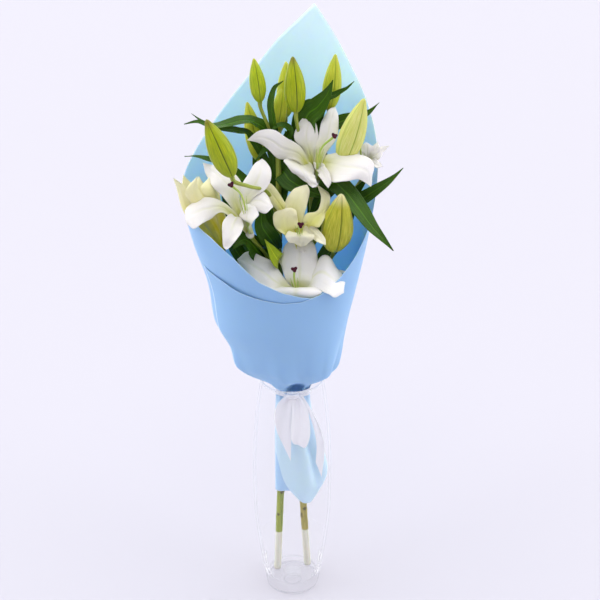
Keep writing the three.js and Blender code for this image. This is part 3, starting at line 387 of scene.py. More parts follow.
# %% Blooms
BLOOMS = {
    "a": {
        "base": (-53, -34, 578), "facing": (-0.28, -0.56, 0.78), "style": [(-62, -60, 640), (-74, -82, 664)],
        "tepals": [
            ([(-55, -32, 580), (-59, -37, 592), (-64, -42, 603), (-88, -38, 627), (-111, -35, 632),
              (-128, -37, 626), (-137, -44, 617)],
             [(-56, -34, 579), (-63, -40, 588), (-68, -47, 598), (-90, -48, 616), (-107, -59, 610),
              (-118, -72, 606), (-127, -73, 604)], (-136, -54, 605)),
            ([(-58, -33, 579), (-64, -39, 589), (-70, -46, 598), (-79, -50, 614), (-88, -64, 609),
              (-88, -78, 595), (-87, -81, 582)],
             [(-55, -30, 581), (-59, -36, 593), (-64, -41, 604), (-65, -46, 609), (-62, -54, 603),
              (-64, -72, 598), (-76, -82, 584)], (-83, -85, 579)),
            ([(-51, -34, 580), (-52, -41, 592), (-54, -47, 603), (-66, -44, 607), (-65, -44, 618),
              (-60, -43, 625)],
             [(-51, -36, 579), (-53, -45, 588), (-55, -54, 598), (-48, -69, 611), (-43, -66, 621),
              (-45, -54, 625)], (-52, -41, 625)),
            ([(-54, -30, 582), (-59, -35, 593), (-63, -41, 605), (-59, -40, 629), (-46, -37, 642),
              (-33, -42, 640)],
             [(-50, -32, 582), (-52, -39, 593), (-53, -45, 605), (-58, -44, 618), (-45, -54, 620),
              (-32, -65, 622)], (-23, -60, 628)),
            ([(-54, -32, 581), (-58, -37, 592), (-63, -42, 604), (-67, -38, 632), (-63, -33, 650),
              (-56, -28, 662), (-46, -16, 673)],
             [(-51, -33, 581), (-53, -39, 592), (-55, -46, 604), (-51, -45, 632), (-34, -42, 645),
              (-26, -34, 658), (-28, -22, 670)], (-38, -7, 676)),
            ([(-57, -31, 580), (-63, -37, 591), (-68, -42, 602), (-85, -36, 629), (-101, -28, 643),
              (-111, -7, 652)],
             [(-53, -31, 582), (-56, -36, 594), (-59, -41, 606), (-67, -37, 634), (-65, -31, 652),
              (-83, -14, 664)], (-117, 7, 666)),
        ],
    },
    "b": {
        "base": (33, 18, 632), "facing": (-0.1, -0.58, 0.81), "style": [(38, -16, 690), (54, -30, 712)],
        "tepals": [
            ([(32, 20, 634), (29, 14, 646), (27, 8, 657), (13, -1, 689), (-6, 1, 702), (-23, 3, 712),
              (-42, 6, 710)],
             [(30, 18, 632), (26, 11, 643), (22, 3, 653), (6, -2, 673), (-16, -2, 674), (-30, 0, 687),
              (-44, 3, 695)], (-58, 7, 697)),
            ([(30, 21, 634), (27, 15, 646), (24, 9, 657), (15, 8, 683), (4, 13, 697), (7, 20, 711),
              (17, 31, 721)],
             [(34, 21, 635), (34, 15, 647), (34, 10, 659), (32, 8, 683), (36, 11, 697), (34, 17, 711),
              (31, 28, 720)], (34, 43, 723)),
            ([(33, 20, 634), (31, 14, 646), (30, 9, 658), (30, 8, 682), (36, 12, 702), (40, 20, 719),
              (51, 35, 731)],
             [(35, 19, 634), (36, 12, 645), (37, 5, 656), (46, 4, 680), (59, 9, 698), (62, 17, 715),
              (61, 30, 727)], (58, 47, 731)),
            ([(34, 21, 635), (33, 16, 647), (32, 10, 659), (42, 6, 676), (60, 0, 681), (78, -5, 684),
              (97, -4, 678), (109, -2, 663)],
             [(38, 18, 634), (39, 11, 645), (40, 4, 656), (39, 4, 663), (52, -35, 655), (69, -42, 656),
              (86, -33, 657), (96, -25, 649)], (104, -23, 643)),
            ([(33, 20, 634), (32, 14, 646), (31, 9, 658), (29, 5, 668), (33, 1, 658), (40, -30, 654)],
             [(35, 18, 633), (36, 12, 645), (37, 5, 656), (40, -2, 669), (48, -25, 665),
              (52, -36, 655)], (48, -38, 646)),
            ([(28, 20, 633), (25, 13, 644), (21, 6, 655), (14, 6, 673), (-10, -5, 674), (1, -13, 661),
              (15, -12, 650)],
             [(32, 21, 635), (31, 16, 647), (30, 10, 659), (27, 6, 666), (30, 3, 655), (32, -25, 653),
              (36, -29, 647)], (28, -30, 644)),
        ],
    },
    "c": {
        "base": (15, -24, 552), "facing": (-0.1, -0.59, 0.8), "style": [(10, -58, 600), (12, -78, 610)],
        "tepals": [
            ([(15, -22, 554), (14, -28, 566), (12, -34, 578), (-4, -33, 616), (-19, -21, 638), (-31, -9, 645),
              (-47, 2, 642)],
             [(13, -23, 553), (9, -30, 564), (5, -37, 575), (-14, -35, 608), (-28, -28, 624), (-37, -20, 633),
              (-52, -5, 632)], (-64, 4, 635)),
            ([(12, -21, 554), (9, -27, 566), (6, -34, 577), (-6, -34, 609), (-8, -29, 624), (2, -22, 638),
              (11, -19, 642)],
             [(17, -21, 555), (16, -27, 567), (16, -33, 579), (17, -35, 607), (20, -32, 618), (22, -29, 628),
              (24, -23, 637)], (21, -18, 644)),
            ([(15, -22, 554), (14, -28, 566), (12, -34, 578), (18, -35, 608), (30, -35, 612), (36, -34, 617),
              (39, -27, 628), (36, -18, 637)],
             [(18, -23, 554), (19, -30, 565), (20, -37, 576), (25, -39, 594), (36, -48, 596), (46, -37, 609),
              (51, -29, 625), (48, -19, 634)], (34, -10, 641)),
            ([(19, -22, 555), (20, -29, 566), (20, -35, 578), (18, -36, 599), (27, -38, 597), (36, -46, 591),
              (44, -57, 584)],
             [(15, -21, 555), (13, -26, 567), (11, -32, 579), (15, -37, 586), (23, -41, 581), (31, -55, 580),
              (37, -62, 579)], (45, -63, 577)),
            ([(13, -23, 553), (9, -30, 564), (6, -36, 575), (-4, -44, 588), (-8, -52, 584), (0, -47, 574)],
             [(15, -22, 554), (14, -28, 566), (13, -34, 578), (19, -40, 586), (30, -55, 586),
              (24, -51, 576)], (13, -36, 564)),
            ([(10, -25, 552), (6, -32, 562), (3, -40, 572), (-11, -47, 586), (-22, -46, 597), (-23, -41, 612),
              (-9, -39, 618)],
             [(12, -21, 555), (9, -27, 566), (7, -33, 578), (4, -37, 588), (9, -38, 594), (8, -40, 607),
              (6, -40, 616)], (0, -38, 619)),
        ],
    },
    "d": {
        "base": (10, -30, 475), "facing": (-0.1, -0.53, 0.84), "style": [(4, -64, 528), (4, -80, 548)],
        "tepals": [
            ([(8, -28, 477), (5, -34, 489), (3, -39, 501), (-9, -39, 519), (-23, -32, 538), (-38, -28, 546),
              (-58, -19, 550)],
             [(7, -31, 475), (3, -38, 486), (-1, -45, 496), (-10, -53, 506), (-31, -62, 510), (-48, -52, 517),
              (-65, -32, 529)], (-73, -19, 539)),
            ([(6, -28, 477), (3, -33, 489), (-1, -39, 500), (-6, -36, 522), (-15, -31, 537), (-19, -28, 540)],
             [(11, -26, 479), (10, -31, 491), (9, -36, 503), (1, -35, 524), (-7, -31, 540),
              (-14, -27, 544)], (-25, -28, 541)),
            ([(10, -28, 477), (9, -33, 490), (8, -38, 502), (-5, -40, 515), (-13, -34, 534), (-13, -28, 549),
              (-7, -21, 562)],
             [(13, -29, 477), (14, -36, 489), (15, -42, 500), (29, -50, 519), (35, -39, 532), (34, -29, 551),
              (29, -22, 564)], (13, -13, 570)),
            ([(13, -27, 478), (13, -32, 491), (13, -37, 503), (22, -42, 517), (41, -36, 530), (58, -34, 531)],
             [(15, -31, 476), (16, -38, 487), (17, -45, 498), (25, -47, 514), (43, -43, 526),
              (59, -38, 526)], (76, -35, 527)),
            ([(12, -29, 477), (13, -34, 489), (13, -40, 501), (22, -44, 518), (36, -33, 544), (49, -33, 549),
              (61, -42, 536), (70, -49, 523)],
             [(13, -31, 476), (14, -39, 487), (15, -47, 497), (22, -54, 509), (36, -68, 515), (48, -79, 514),
              (57, -82, 511)], (69, -68, 511)),
            ([(6, -27, 477), (3, -33, 489), (0, -38, 501), (-9, -48, 510), (-28, -63, 513), (-16, -62, 502)],
             [(11, -26, 479), (11, -31, 491), (10, -36, 503), (19, -49, 510), (40, -73, 516),
              (30, -70, 504)], (9, -40, 488)),
        ],
    },
    "e": {
        "base": (95, 22, 643), "facing": (0.15, -0.45, 0.88), "style": [(92, 10, 676), (90, 2, 694)],
        "tepals": [
            ([(94, 24, 645), (94, 20, 658), (94, 19, 666), (95, 15, 674), (91, 16, 682), (94, 18, 687)],
             [(96, 24, 645), (100, 20, 657), (102, 18, 664), (106, 16, 677), (109, 17, 684),
              (105, 18, 687)], (99, 21, 690)),
            ([(96, 26, 646), (98, 22, 659), (100, 21, 666), (104, 16, 677), (113, 17, 683), (121, 20, 685)],
             [(99, 23, 644), (104, 18, 655), (107, 16, 662), (107, 14, 668), (116, 10, 670),
              (123, 17, 678)], (130, 22, 685)),
            ([(98, 22, 644), (102, 17, 655), (106, 14, 661), (107, 14, 670), (116, 9, 668)],
             [(96, 24, 645), (99, 20, 657), (101, 19, 665), (102, 14, 665), (110, -1, 663)], (121, 3, 662)),
            ([(98, 25, 645), (102, 21, 657), (105, 19, 664), (104, 15, 666), (106, 11, 659)],
             [(93, 26, 646), (94, 22, 659), (95, 21, 667), (94, 15, 666), (94, 15, 658)], (101, 14, 651)),
            ([(92, 23, 645), (92, 18, 657), (91, 15, 665), (95, 15, 666), (85, 4, 668)],
             [(95, 24, 645), (97, 21, 658), (98, 19, 666), (95, 15, 677), (87, 15, 678)], (78, 12, 672)),
            ([(95, 26, 646), (98, 22, 659), (99, 21, 666), (103, 16, 677), (106, 19, 684)],
             [(99, 24, 644), (104, 19, 656), (107, 16, 663), (110, 15, 674), (118, 17, 679)], (115, 23, 690)),
        ],
    },
    "f": {
        "base": (-93, -16, 553), "facing": (-0.38, 0.02, 0.92), "style": None,
        "tepals": [
            ([(-95, -18, 553), (-99, -20, 559), (-105, -22, 564), (-123, -20, 581), (-142, -21, 607),
              (-148, -30, 638)],
             [(-93, -19, 554), (-94, -21, 561), (-96, -25, 572), (-110, -31, 600), (-127, -34, 626),
              (-135, -39, 647)], (-151, -45, 662)),
            ([(-94, -21, 553), (-98, -23, 559), (-103, -27, 570), (-117, -33, 599), (-132, -34, 624),
              (-137, -40, 644)],
             [(-90, -19, 555), (-91, -21, 562), (-91, -22, 571), (-99, -27, 601), (-113, -33, 628),
              (-121, -38, 649)], (-121, -38, 662)),
            ([(-92, -18, 554), (-93, -20, 561), (-96, -25, 575), (-103, -28, 604), (-112, -30, 627),
              (-117, -33, 645)],
             [(-91, -16, 555), (-91, -15, 562), (-86, -14, 568), (-87, -12, 596), (-95, -11, 620),
              (-102, -10, 638)], (-108, -11, 652)),
            ([(-91, -12, 555), (-93, -9, 561), (-95, -6, 570), (-107, 2, 599), (-114, 5, 623)],
             [(-89, -16, 556), (-89, -16, 563), (-85, -14, 571), (-90, -12, 604),
              (-96, -10, 631)], (-99, -11, 648)),
            ([(-93, -13, 554), (-95, -10, 560), (-102, -6, 568), (-123, -2, 597), (-133, 3, 624)],
             [(-91, -15, 555), (-91, -14, 562), (-90, -14, 576), (-103, -3, 609),
              (-114, 1, 633)], (-123, 9, 647)),
            ([(-97, -12, 552), (-101, -10, 558), (-104, -8, 562), (-130, -7, 597), (-145, -6, 624)],
             [(-92, -11, 554), (-94, -9, 561), (-96, -5, 570), (-117, 4, 604),
              (-129, 8, 631)], (-144, 11, 648)),
        ],
    },
}
PETAL_THICKNESS = 0.8
PETAL_CELLS = (22, 48)
RUFFLE = 1.6  # height of the waves along a petal's edge
RIB_GROOVE = 0.75
THROAT_CUP = 0.55  # how deeply a petal is cupped at its root, as a share of half its width
YOUNG_CUP = 0.45  # the same along the whole of a petal that is still closed
OPEN_BEND = 0.2  # how far an open petal's edges bend back instead
NECK_HEIGHT, NECK_RADIUS = 7, 5.6
PETAL_FINISHES = {
    "c": (warm_face, warm_back),
    "d": (painted_light_face, petal_back),
    "f": (young_face, young_back),
}


def tepal(bloom, number, young, finishes):
    """A petal stretched between its two edge lines, with its face towards the bloom's axis."""
    axis = unit(bloom["facing"])
    left, right, tip = bloom["tepals"][number]
    near, _ = smooth_curve([*left, tip])
    far, _ = smooth_curve([*right, tip])
    if np.dot(np.cross(far[50] - near[50], near[60] - near[50]), axis) < 0:
        near, far = far, near
    along = unit(np.gradient((near + far) / 2, axis=0))
    normal = unit(np.cross(far - near + 1e-9, along))
    normal[-12:] = normal[-13]

    def place(u, v):
        first, last, face = rows_at(v, near, far, normal)
        half = np.linalg.norm(last - first, axis=1) / 2
        across = 2 * u - 1
        upper = YOUNG_CUP if young else -OPEN_BEND * np.clip((v - 0.35) / 0.4, 0, 1)
        cup = THROAT_CUP * np.clip(1 - v / 0.42, 0, 1) + upper
        rise = -cup * half * (1 - across**2)
        groove = RIB_GROOVE * np.exp(-((across / 0.13) ** 2))
        rise = rise - groove * np.clip(v / 0.3, 0, 1) * np.clip((1 - v) / 0.2, 0, 1)
        waves = np.sin(2 * np.pi * (3.5 + 0.5 * (number % 3)) * v + 1.7 * number + 1.1 * across)
        waves = waves + 0.45 * np.sin(19 * v + 2.3 * number)
        frill = RUFFLE * (0.3 if young else 1) * waves * np.abs(across) ** 2.4
        frill = frill * np.clip((v - 0.22) / 0.2, 0, 1)
        rise = rise + frill * np.clip(half / 8, 0, 1)
        return first + (last - first) * u[:, None] + face * rise[:, None]

    piece = paint(grid_piece("tepal", *PETAL_CELLS, place), *finishes)
    return thicken(piece, PETAL_THICKNESS, back_slot=1)


for letter, bloom in BLOOMS.items():
    young = letter == "f"
    finishes = PETAL_FINISHES.get(letter, (petal_face, petal_back))
    petals = [tepal(bloom, number, young, finishes) for number in range(6)]
    axis = unit(bloom["facing"])
    root = np.array(bloom["base"], float)
    top = root + axis * NECK_HEIGHT
    line = [root, (root + top) / 2, top]
    neck = grid_piece("neck", 20, 8, rod(line, lambda v: NECK_RADIUS - 1.2 * (1 - v) ** 2), closed=True)
    paint(neck, petal_back)
    settle(joined(f"lily_bloom_{letter}", [*petals, neck]), f"bloom_{letter}")
print("blooms:", len(BLOOMS))

# %% [markdown]
# ## Styles, filaments and stigmas
# The anthers are pinched off before sale so that pollen doesn't stain, which
# leaves six bare filaments. In the middle stands the thicker green style, and
# it ends in a dark three-lobed stigma.

# %% Styles and stigmas
def style_material():
    finish = Finish("lily style", Roughness=0.38, Subsurface_Weight=0.2, Subsurface_Scale=0.002)
    _, along = finish.across_and_along()
    low, high = colour(0.62, 0.7, 0.2), colour(0.36, 0.52, 0.07)
    finish.set("Base_Color", finish.mix(finish.range(along, 0.2, 0.95), low, high))
    finish.bump(finish.noise(finish.object_place(), 900.0), 0.1, 0.3)
    return finish.material


def stigma_material():
    finish = Finish("lily stigma", Roughness=0.5, Specular_IOR_Level=0.15)
    grain = finish.noise(finish.object_place(), 1400.0)
    dark, light = colour(0.02, 0.001, 0.006), colour(0.09, 0.006, 0.022)
    finish.set("Base_Color", finish.mix(finish.range(grain, 0.35, 0.7), dark, light))
    finish.bump(grain, 0.3, 0.6)
    return finish.material


style_skin, stigma_skin = style_material(), stigma_material()

STYLE_START = 7.3  # how far up the bloom's axis a style begins
STYLE_STARTS = {"c": 17}  # where another start keeps it from showing below the petals
STYLE_RADIUS = 1.3
FILAMENT_RADIUS = 0.62
FILAMENT_SPREAD = (0.4, 2.6, 5.5)  # from the style, at a filament's foot, middle and end


def stigma_radius(v):
    swelling = np.sin(np.pi * np.clip(v, 0, 1) ** 0.9 * 0.62) ** 0.8
    return 1.7 + 2.3 * swelling * np.sqrt(np.clip(1.04 - v**6, 0, 1))


def stigma_lobes(angle, v):
    return 1.15 * v * np.cos(3 * angle) - 0.5 * v * np.abs(np.sin(1.5 * angle)) ** 8


for letter, bloom in BLOOMS.items():
    if not bloom["style"]:
        continue
    axis = unit(bloom["facing"])
    foot = np.array(bloom["base"], float) + axis * STYLE_STARTS.get(letter, STYLE_START)
    style = rod([foot, *bloom["style"]], lambda v: STYLE_RADIUS * (1.25 - 0.35 * np.sin(np.pi * v)))
    parts = [grid_piece("style", 14, 40, style, closed=True)]
    across = np.array([1.0, 0, 0])
    beside = unit(np.cross(across, axis))
    reach = np.array(bloom["style"][0], float) - foot
    for k in range(6):
        angle = k * math.pi / 3 + 0.4
        out = across * math.cos(angle) + beside * math.sin(angle)
        low, middle, high = FILAMENT_SPREAD
        points = [foot + out * low, foot + reach * 0.55 + out * middle, foot + reach + out * high]
        taper = rod(points, lambda v: FILAMENT_RADIUS * (1.15 - 0.75 * v))
        parts.append(grid_piece("filament", 8, 18, taper, closed=True))
    for part in parts:
        paint(part, style_skin)
    settle(joined(f"lily_style_{letter}", parts), f"bloom_{letter}_style")

    end, before = (np.array(p, float) for p in reversed(bloom["style"]))
    along = unit(end - before)
    knob = rod([end + along * 0.3, end + along * 2.5, end + along * 4.8], stigma_radius, flute=stigma_lobes)
    stigma = paint(grid_piece(f"lily_stigma_{letter}", 36, 14, knob, closed=True), stigma_skin)
    settle(stigma, f"bloom_{letter}_stigma")
print("styles:", sum(bloom["style"] is not None for bloom in BLOOMS.values()))

# %% [markdown]
# ## The buds
# A closed bud is three outer petals folded edge to edge, so its section is a
# soft triangle with a dark seam between each pair and a rib down each face.
# Younger buds are green, and older ones swell and turn cream.

# %% Bud materials


def bud_finish(name, skin, shade, tip_colour, seam):
    finish = Finish(name, Roughness=0.42, Specular_IOR_Level=0.3,
                    Subsurface_Weight=0.25, Subsurface_Scale=0.003)
    around, along = finish.across_and_along()
    thirds = finish.math("PINGPONG", finish.times(around, 3.0), 0.5)
    on_seam = finish.range(thirds, 0.0, 0.045, 1.0, 0.0)
    on_rib = finish.range(thirds, 0.43, 0.5, 0.0, 0.45)
    veins = finish.noise(finish.uv(), 6.0, 4.0, (22.0, 0.8, 1.0))
    base = finish.mix(finish.range(veins, 0.35, 0.68), colour(*shade), colour(*skin))
    base = finish.mix(finish.range(along, 0.0, 0.3, 0.65, 0.0), base, colour(*shade))
    base = finish.mix(finish.range(along, 0.8, 1.0, 0.0, 0.8), base, colour(*tip_colour))
    base = finish.mix(finish.most(on_seam, on_rib), base, colour(*seam))
    finish.set("Base_Color", base)
    finish.bump(veins, 0.5, 0.6)
    return finish.material


BUD_COLOURS = {  # skin, shade, tip and seam
    "green": ((0.56, 0.64, 0.015), (0.3, 0.42, 0.01), (0.5, 0.55, 0.05), (0.09, 0.15, 0.005)),
    "bright": ((0.47, 0.52, 0.006), (0.26, 0.35, 0.005), (0.2, 0.16, 0.02), (0.06, 0.1, 0.003)),
    "yellow": ((0.64, 0.66, 0.06), (0.42, 0.5, 0.02), (0.55, 0.57, 0.08), (0.2, 0.28, 0.01)),
    "cream": ((0.78, 0.77, 0.3), (0.62, 0.66, 0.12), (0.66, 0.66, 0.16), (0.3, 0.4, 0.02)),
    "olive": ((0.6, 0.57, 0.06), (0.36, 0.38, 0.015), (0.8, 0.74, 0.42), (0.2, 0.25, 0.01)),
}
BUD_FINISHES = {name: bud_finish(f"bud, {name}", *colours) for name, colours in BUD_COLOURS.items()}

# %% [markdown]
# ## Shaping the buds
# A bud is a rod whose girth swells and narrows to the tip. Three grooves are
# its seams, and a low ridge runs midway between each pair.

# %% Buds
# Root, tip, greatest radius, finish, and how deep the seams are.
BUDS = {
    "upper_left": ((-41, 20, 745), (-48, 20, 802), 10.5, "green", 0.5),
    "upper_middle": ((6, 14, 733), (2, 17, 805), 14, "bright", 0.7),
    "upper_back": ((-8, 46, 718), (-7, 50, 791), 12.5, "yellow", 0.5),
    "middle_pale": ((-22, 33, 699), (-11, 41, 762), 11, "yellow", 0.5),
    "upper_right": ((50, 50, 726), (58, 54, 800), 12.5, "yellow", 0.6),
    "left_shaded": ((-43, 40, 659), (-59, 46, 738), 12.5, "yellow", 0.6),
    "left_front": ((-75, -60, 670), (-105, -66, 745), 16, "bright", 0.9),
    "right_tall": ((67, 6, 668), (94, -2, 755), 17, "cream", 0.9),
    "right_opening": ((56, -22, 554), (65, -44, 640), 21, "olive", 2.4),
}
BUD_GIRTH = [(0, 0.3), (0.04, 0.5), (0.12, 0.74), (0.25, 0.94), (0.4, 1.0), (0.6, 0.88), (0.8, 0.58),
             (0.92, 0.31), (0.98, 0.16), (1, 0.05)]

for name, (root, tip, girth, finish_name, seam) in BUDS.items():

    def bud_section(around, v, girth=girth, seam=seam):
        body = 0.05 * girth * np.cos(3 * around + np.pi) * np.sin(np.pi * v)
        from_seam = np.abs(((around / (2 * np.pi) * 3 + 0.5) % 1) - 0.5)
        groove = seam * np.exp(-((from_seam / 0.035) ** 2))
        ridge = 0.35 * seam * np.exp(-(((0.5 - from_seam) / 0.05) ** 2))
        return body - (groove - ridge) * np.sin(np.pi * np.clip(v, 0, 1)) ** 0.5

    middle = (np.array(root, float) + np.array(tip, float)) / 2
    place = rod([root, middle, tip], lambda v, girth=girth: girth * flow(BUD_GIRTH, v), flute=bud_section)
    bud = grid_piece(f"lily_bud_{name}", 96, 56, place, closed=True)
    paint(bud, BUD_FINISHES[finish_name])
    settle(bud, f"bud_{name}")
print("buds:", len(BUDS))

# %% [markdown]
# ## Leaf and stem finishes
# Lily leaves are dark, glossy and ribbed lengthwise, with a paler underside.
# The cut stems have fine streaks and dark scars. Low down the left one is green
# and the right one golden, and both are cream from just above the water.

# %% Leaf and stem materials
PALE_FOOT = (0.085, 0.088)  # metres: the stems turn pale here, just above the water


def leaf_finish(name, dark, light, rough):
    finish = Finish(name, Roughness=rough, Specular_IOR_Level=0.22,
                    Subsurface_Weight=0.08, Subsurface_Scale=0.002)
    across, _ = finish.across_and_along()
    rib = finish.range(finish.distance(across), 0.0, 0.05, 0.6, 0.0)
    veins = finish.noise(finish.uv(), 5.0, 4.0, (18.0, 0.5, 1.0))
    patches = finish.noise(finish.object_place(), 30.0)
    base = finish.mix(finish.range(veins, 0.35, 0.7), colour(*dark), colour(*light))
    base = finish.mix(finish.range(patches, 0.4, 0.75, 0.0, 0.5), base, colour(*light))
    base = finish.mix(rib, base, colour(*(min(1, c * 2.1) for c in light)))
    finish.set("Base_Color", base)
    finish.bump(veins, 0.6, 0.8)
    return finish.material


leaf_upper = leaf_finish("lily leaf, upper", (0.022, 0.078, 0.003), (0.058, 0.15, 0.005), 0.27)
leaf_young = leaf_finish("lily leaf, young", (0.26, 0.38, 0.008), (0.42, 0.52, 0.02), 0.35)
leaf_under = leaf_finish("lily leaf, under", (0.07, 0.17, 0.04), (0.12, 0.24, 0.06), 0.5)


def stem_material():
    stem = Finish("lily stem", Roughness=0.42, Subsurface_Weight=0.1, Subsurface_Scale=0.002)
    place = stem.object_place()
    side, _, height = stem.parts(place)
    streaks = stem.noise(stem.uv(), 8.0, 3.0, (3.0, 0.6, 1.0))
    streaked = stem.range(streaks, 0.35, 0.7)
    green = stem.mix(streaked, colour(0.2, 0.28, 0.02), colour(0.44, 0.47, 0.07))
    golden = stem.mix(streaked, colour(0.3, 0.26, 0.03), colour(0.56, 0.47, 0.12))
    base = stem.mix(stem.range(side, -0.004, 0.004), green, golden)
    base = stem.mix(stem.range(height, 0.13, 0.24), base, green)
    scars = stem.node("ShaderNodeTexVoronoi", Vector=place, Scale=95.0).outputs["Distance"]
    scars = stem.times(stem.range(scars, 0.16, 0.38, 0.9, 0.0), stem.range(height, 0.2, 0.3, 1.0, 0.0))
    base = stem.mix(scars, base, colour(0.09, 0.08, 0.01))
    pale = stem.mix(stem.range(streaks, 0.3, 0.7), colour(0.66, 0.65, 0.5), colour(0.84, 0.83, 0.72))
    stem.set("Base_Color", stem.mix(stem.range(height, *PALE_FOOT, 1.0, 0.0), base, pale))
    stem.bump(streaks, 0.3, 0.6)
    return stem.material


stem_skin = stem_material()

# %% [markdown]
# ## The leafy stems
# Two cut stems stand in the vase and carry everything. Each has stalks that
# swell where they meet a flower, and leaves that spring from the stem and arch.

# %% Leafy stems
STEM_RADIUS = 5.3
STEM_TAPER = 0.35  # share of the radius lost towards the top
STALK_RADIUS = 2.3
STALK_APPROACH, STALK_SEAT = 9, 2  # a stalk's last run outside its flower, and inside it
STEMS = {
    "left": {
        "route": [(-23, 8, 15.8), (-17, 0, 168), (-10, 0, 300), (-8, 1, 340), (-13, 4, 440),
                  (-18, 8, 560), (-17, 13, 650), (-19, 20, 700)],
        "stalks": {
            "upper_left": [(-19, 19, 690), (-30, 20, 712)],
            "middle_pale": [(-19, 18, 685), (-20, 27, 690)],
            "upper_back": [(-19, 20, 695), (-14, 34, 704)],
            "left_shaded": [(-17, 12, 615), (-32, 30, 634)],
            "left_front": [(-18, 7, 585), (-30, -28, 636), (-52, -50, 652)],
            "a": [(-17, 6, 500), (-36, -12, 545)],
            "f": [(-15, 5, 470), (-50, -8, 500), (-82, -22, 532)],
            "d": [(-11, 2, 390), (0, -10, 430)],
        },
    },
    "right": {
        "route": [(23, 18, 15.8), (16, 5, 142), (10, 0, 300), (8, 0, 340), (18, 4, 440),
                  (28, 12, 560), (25, 22, 640), (17, 26, 690)],
        "stalks": {
            "upper_middle": [(18, 26, 682), (10, 18, 704)],
            "upper_right": [(21, 25, 670), (36, 38, 696)],
            "right_tall": [(27, 14, 580), (50, 14, 620)],
            "right_opening": [(22, 7, 490), (42, -6, 518)],
            "b": [(27, 13, 575), (31, 19, 605)],
            "e": [(27, 11, 545), (50, 22, 580), (80, 26, 616)],
            "c": [(18, 4, 450), (20, -6, 500)],
        },
    },
}

# Stem, the middle line from root to tip, greatest width, the way the upper face
# looks, and the twist in degrees from root to tip.
LEAVES = [
    ("right", [(20, 24, 640), (18, 26, 716), (35, 24, 738), (47, 22, 755),
               (54, 20, 774)], 38, (-0.5, -0.8, 0.2), 0),
    ("right", [(20, 25, 655), (40, 34, 736), (59, 34, 752), (72, 32, 760),
               (82, 28, 770)], 13, (0, -0.8, 0.6), 20),
    ("right", [(24, 24, 640), (45, 40, 697), (65, 42, 712), (88, 36, 720), (102, 28, 729),
               (115, 20, 744)], 19, (0, -0.8, 0.6), 0),
    ("left", [(-17, 13, 640), (-31, 24, 700), (-49, 20, 718), (-64, 10, 723), (-82, 0, 721), (-102, -20, 724),
               (-119, -22, 730), (-137, -22, 727)], 19, (0, -0.6, 0.8), 15),
    ("left", [(-17, 13, 632), (-52, 20, 696), (-70, 10, 709), (-95, -2, 717), (-112, -10, 726),
               (-128, -12, 738)], 11, (0, -0.6, 0.8), 0),
    ("left", [(-17, 10, 600), (-75, 26, 644), (-93, 20, 658), (-107, 2, 672), (-124, -2, 678),
               (-140, -4, 678)], 17, (0, -0.5, 0.9), 0),
    ("right", [(27, 14, 590), (52, -8, 642), (70, -20, 636), (87, -32, 618), (106, -44, 595),
               (134, -54, 565)], 29, (0.3, -0.7, 0.6), 0),
    ("right", [(28, 11, 565), (78, 2, 609), (94, -2, 619), (112, -6, 633), (130, -8, 647),
               (147, -8, 664)], 19, (0, -0.8, 0.6), 0),
    ("right", [(28, 10, 560), (65, 6, 606), (81, 8, 620), (93, 8, 634),
               (103, 6, 648)], 18, (0, -0.9, 0.4), 0),
    ("left", [(-18, 9, 590), (-14, 16, 649), (-2, 4, 643), (13, -4, 636), (31, -8, 629),
               (52, -14, 623)], 30, (-0.1, -0.8, 0.6), 0),
    ("left", [(-16, 6, 528), (-16, -24, 540), (-19, -42, 549), (-27, -44, 564),
               (-35, -40, 576)], 22, (0.3, -0.9, 0.1), 20),
    ("left", [(-17, 7, 520), (-40, -14, 542), (-54, -30, 567), (-65, -38, 574),
               (-78, -46, 563)], 30, (0, -0.7, 0.7), 0),
    ("left", [(-18, 16, 655), (-7, 20, 691), (-3, 18, 708), (-14, 14, 716), (-24, 10, 711),
               (-28, 12, 700)], 12, (0, -0.5, 0.9), 0),
    ("left", [(-18, 18, 690), (-25, 12, 728), (-26, 10, 750), (-21, 7, 767),
               (-10, 3, 777)], 11, (-0.5, -0.8, 0.2), 0),
    ("left", [(-17, 12, 640), (-23, 18, 690), (-34, 14, 683), (-48, 8, 668)], 14, (-0.2, -0.8, 0.6), 0),
    ("left", [(-16, 7, 540), (-31, -20, 573), (-39, -24, 589), (-39, -20, 604),
               (-31, -14, 614)], 26, (0.1, -0.9, 0.4), 0),
    ("left", [(-13, 4, 440), (-50, 12, 500), (-78, 18, 540), (-98, 22, 590)], 30, (0.5, -0.5, 0.7), 0),
    ("left", [(-17, 8, 550), (-30, 38, 600), (-42, 54, 640), (-52, 66, 690)], 28, (0.2, -0.9, 0.4), 0),
    ("left", [(-15, 6, 490), (-60, 36, 540), (-84, 50, 580), (-100, 54, 632)], 28, (0.5, -0.6, 0.6), 0),
    ("right", [(22, 7, 500), (58, 28, 540), (78, 38, 580), (90, 44, 620)], 28, (-0.5, -0.6, 0.6), 0),
    ("right", [(27, 12, 570), (36, 44, 620), (38, 58, 660), (30, 68, 706)], 28, (-0.1, -0.9, 0.4), 0),
]
YOUNG_LEAF = 10  # the small bright one that turns over above bloom D
LEAF_CELLS = (14, 44)
LEAF_THICKNESS = 0.6


def flower_seat(name):
    """The last two points of a stalk: just below its bud or bloom, and just inside it."""
    if name in BLOOMS:
        root, way = np.array(BLOOMS[name]["base"], float), unit(BLOOMS[name]["facing"])
    else:
        root = np.array(BUDS[name][0], float)
        way = unit(np.array(BUDS[name][1], float) - root)
    return [root - way * STALK_APPROACH, root + way * STALK_SEAT]


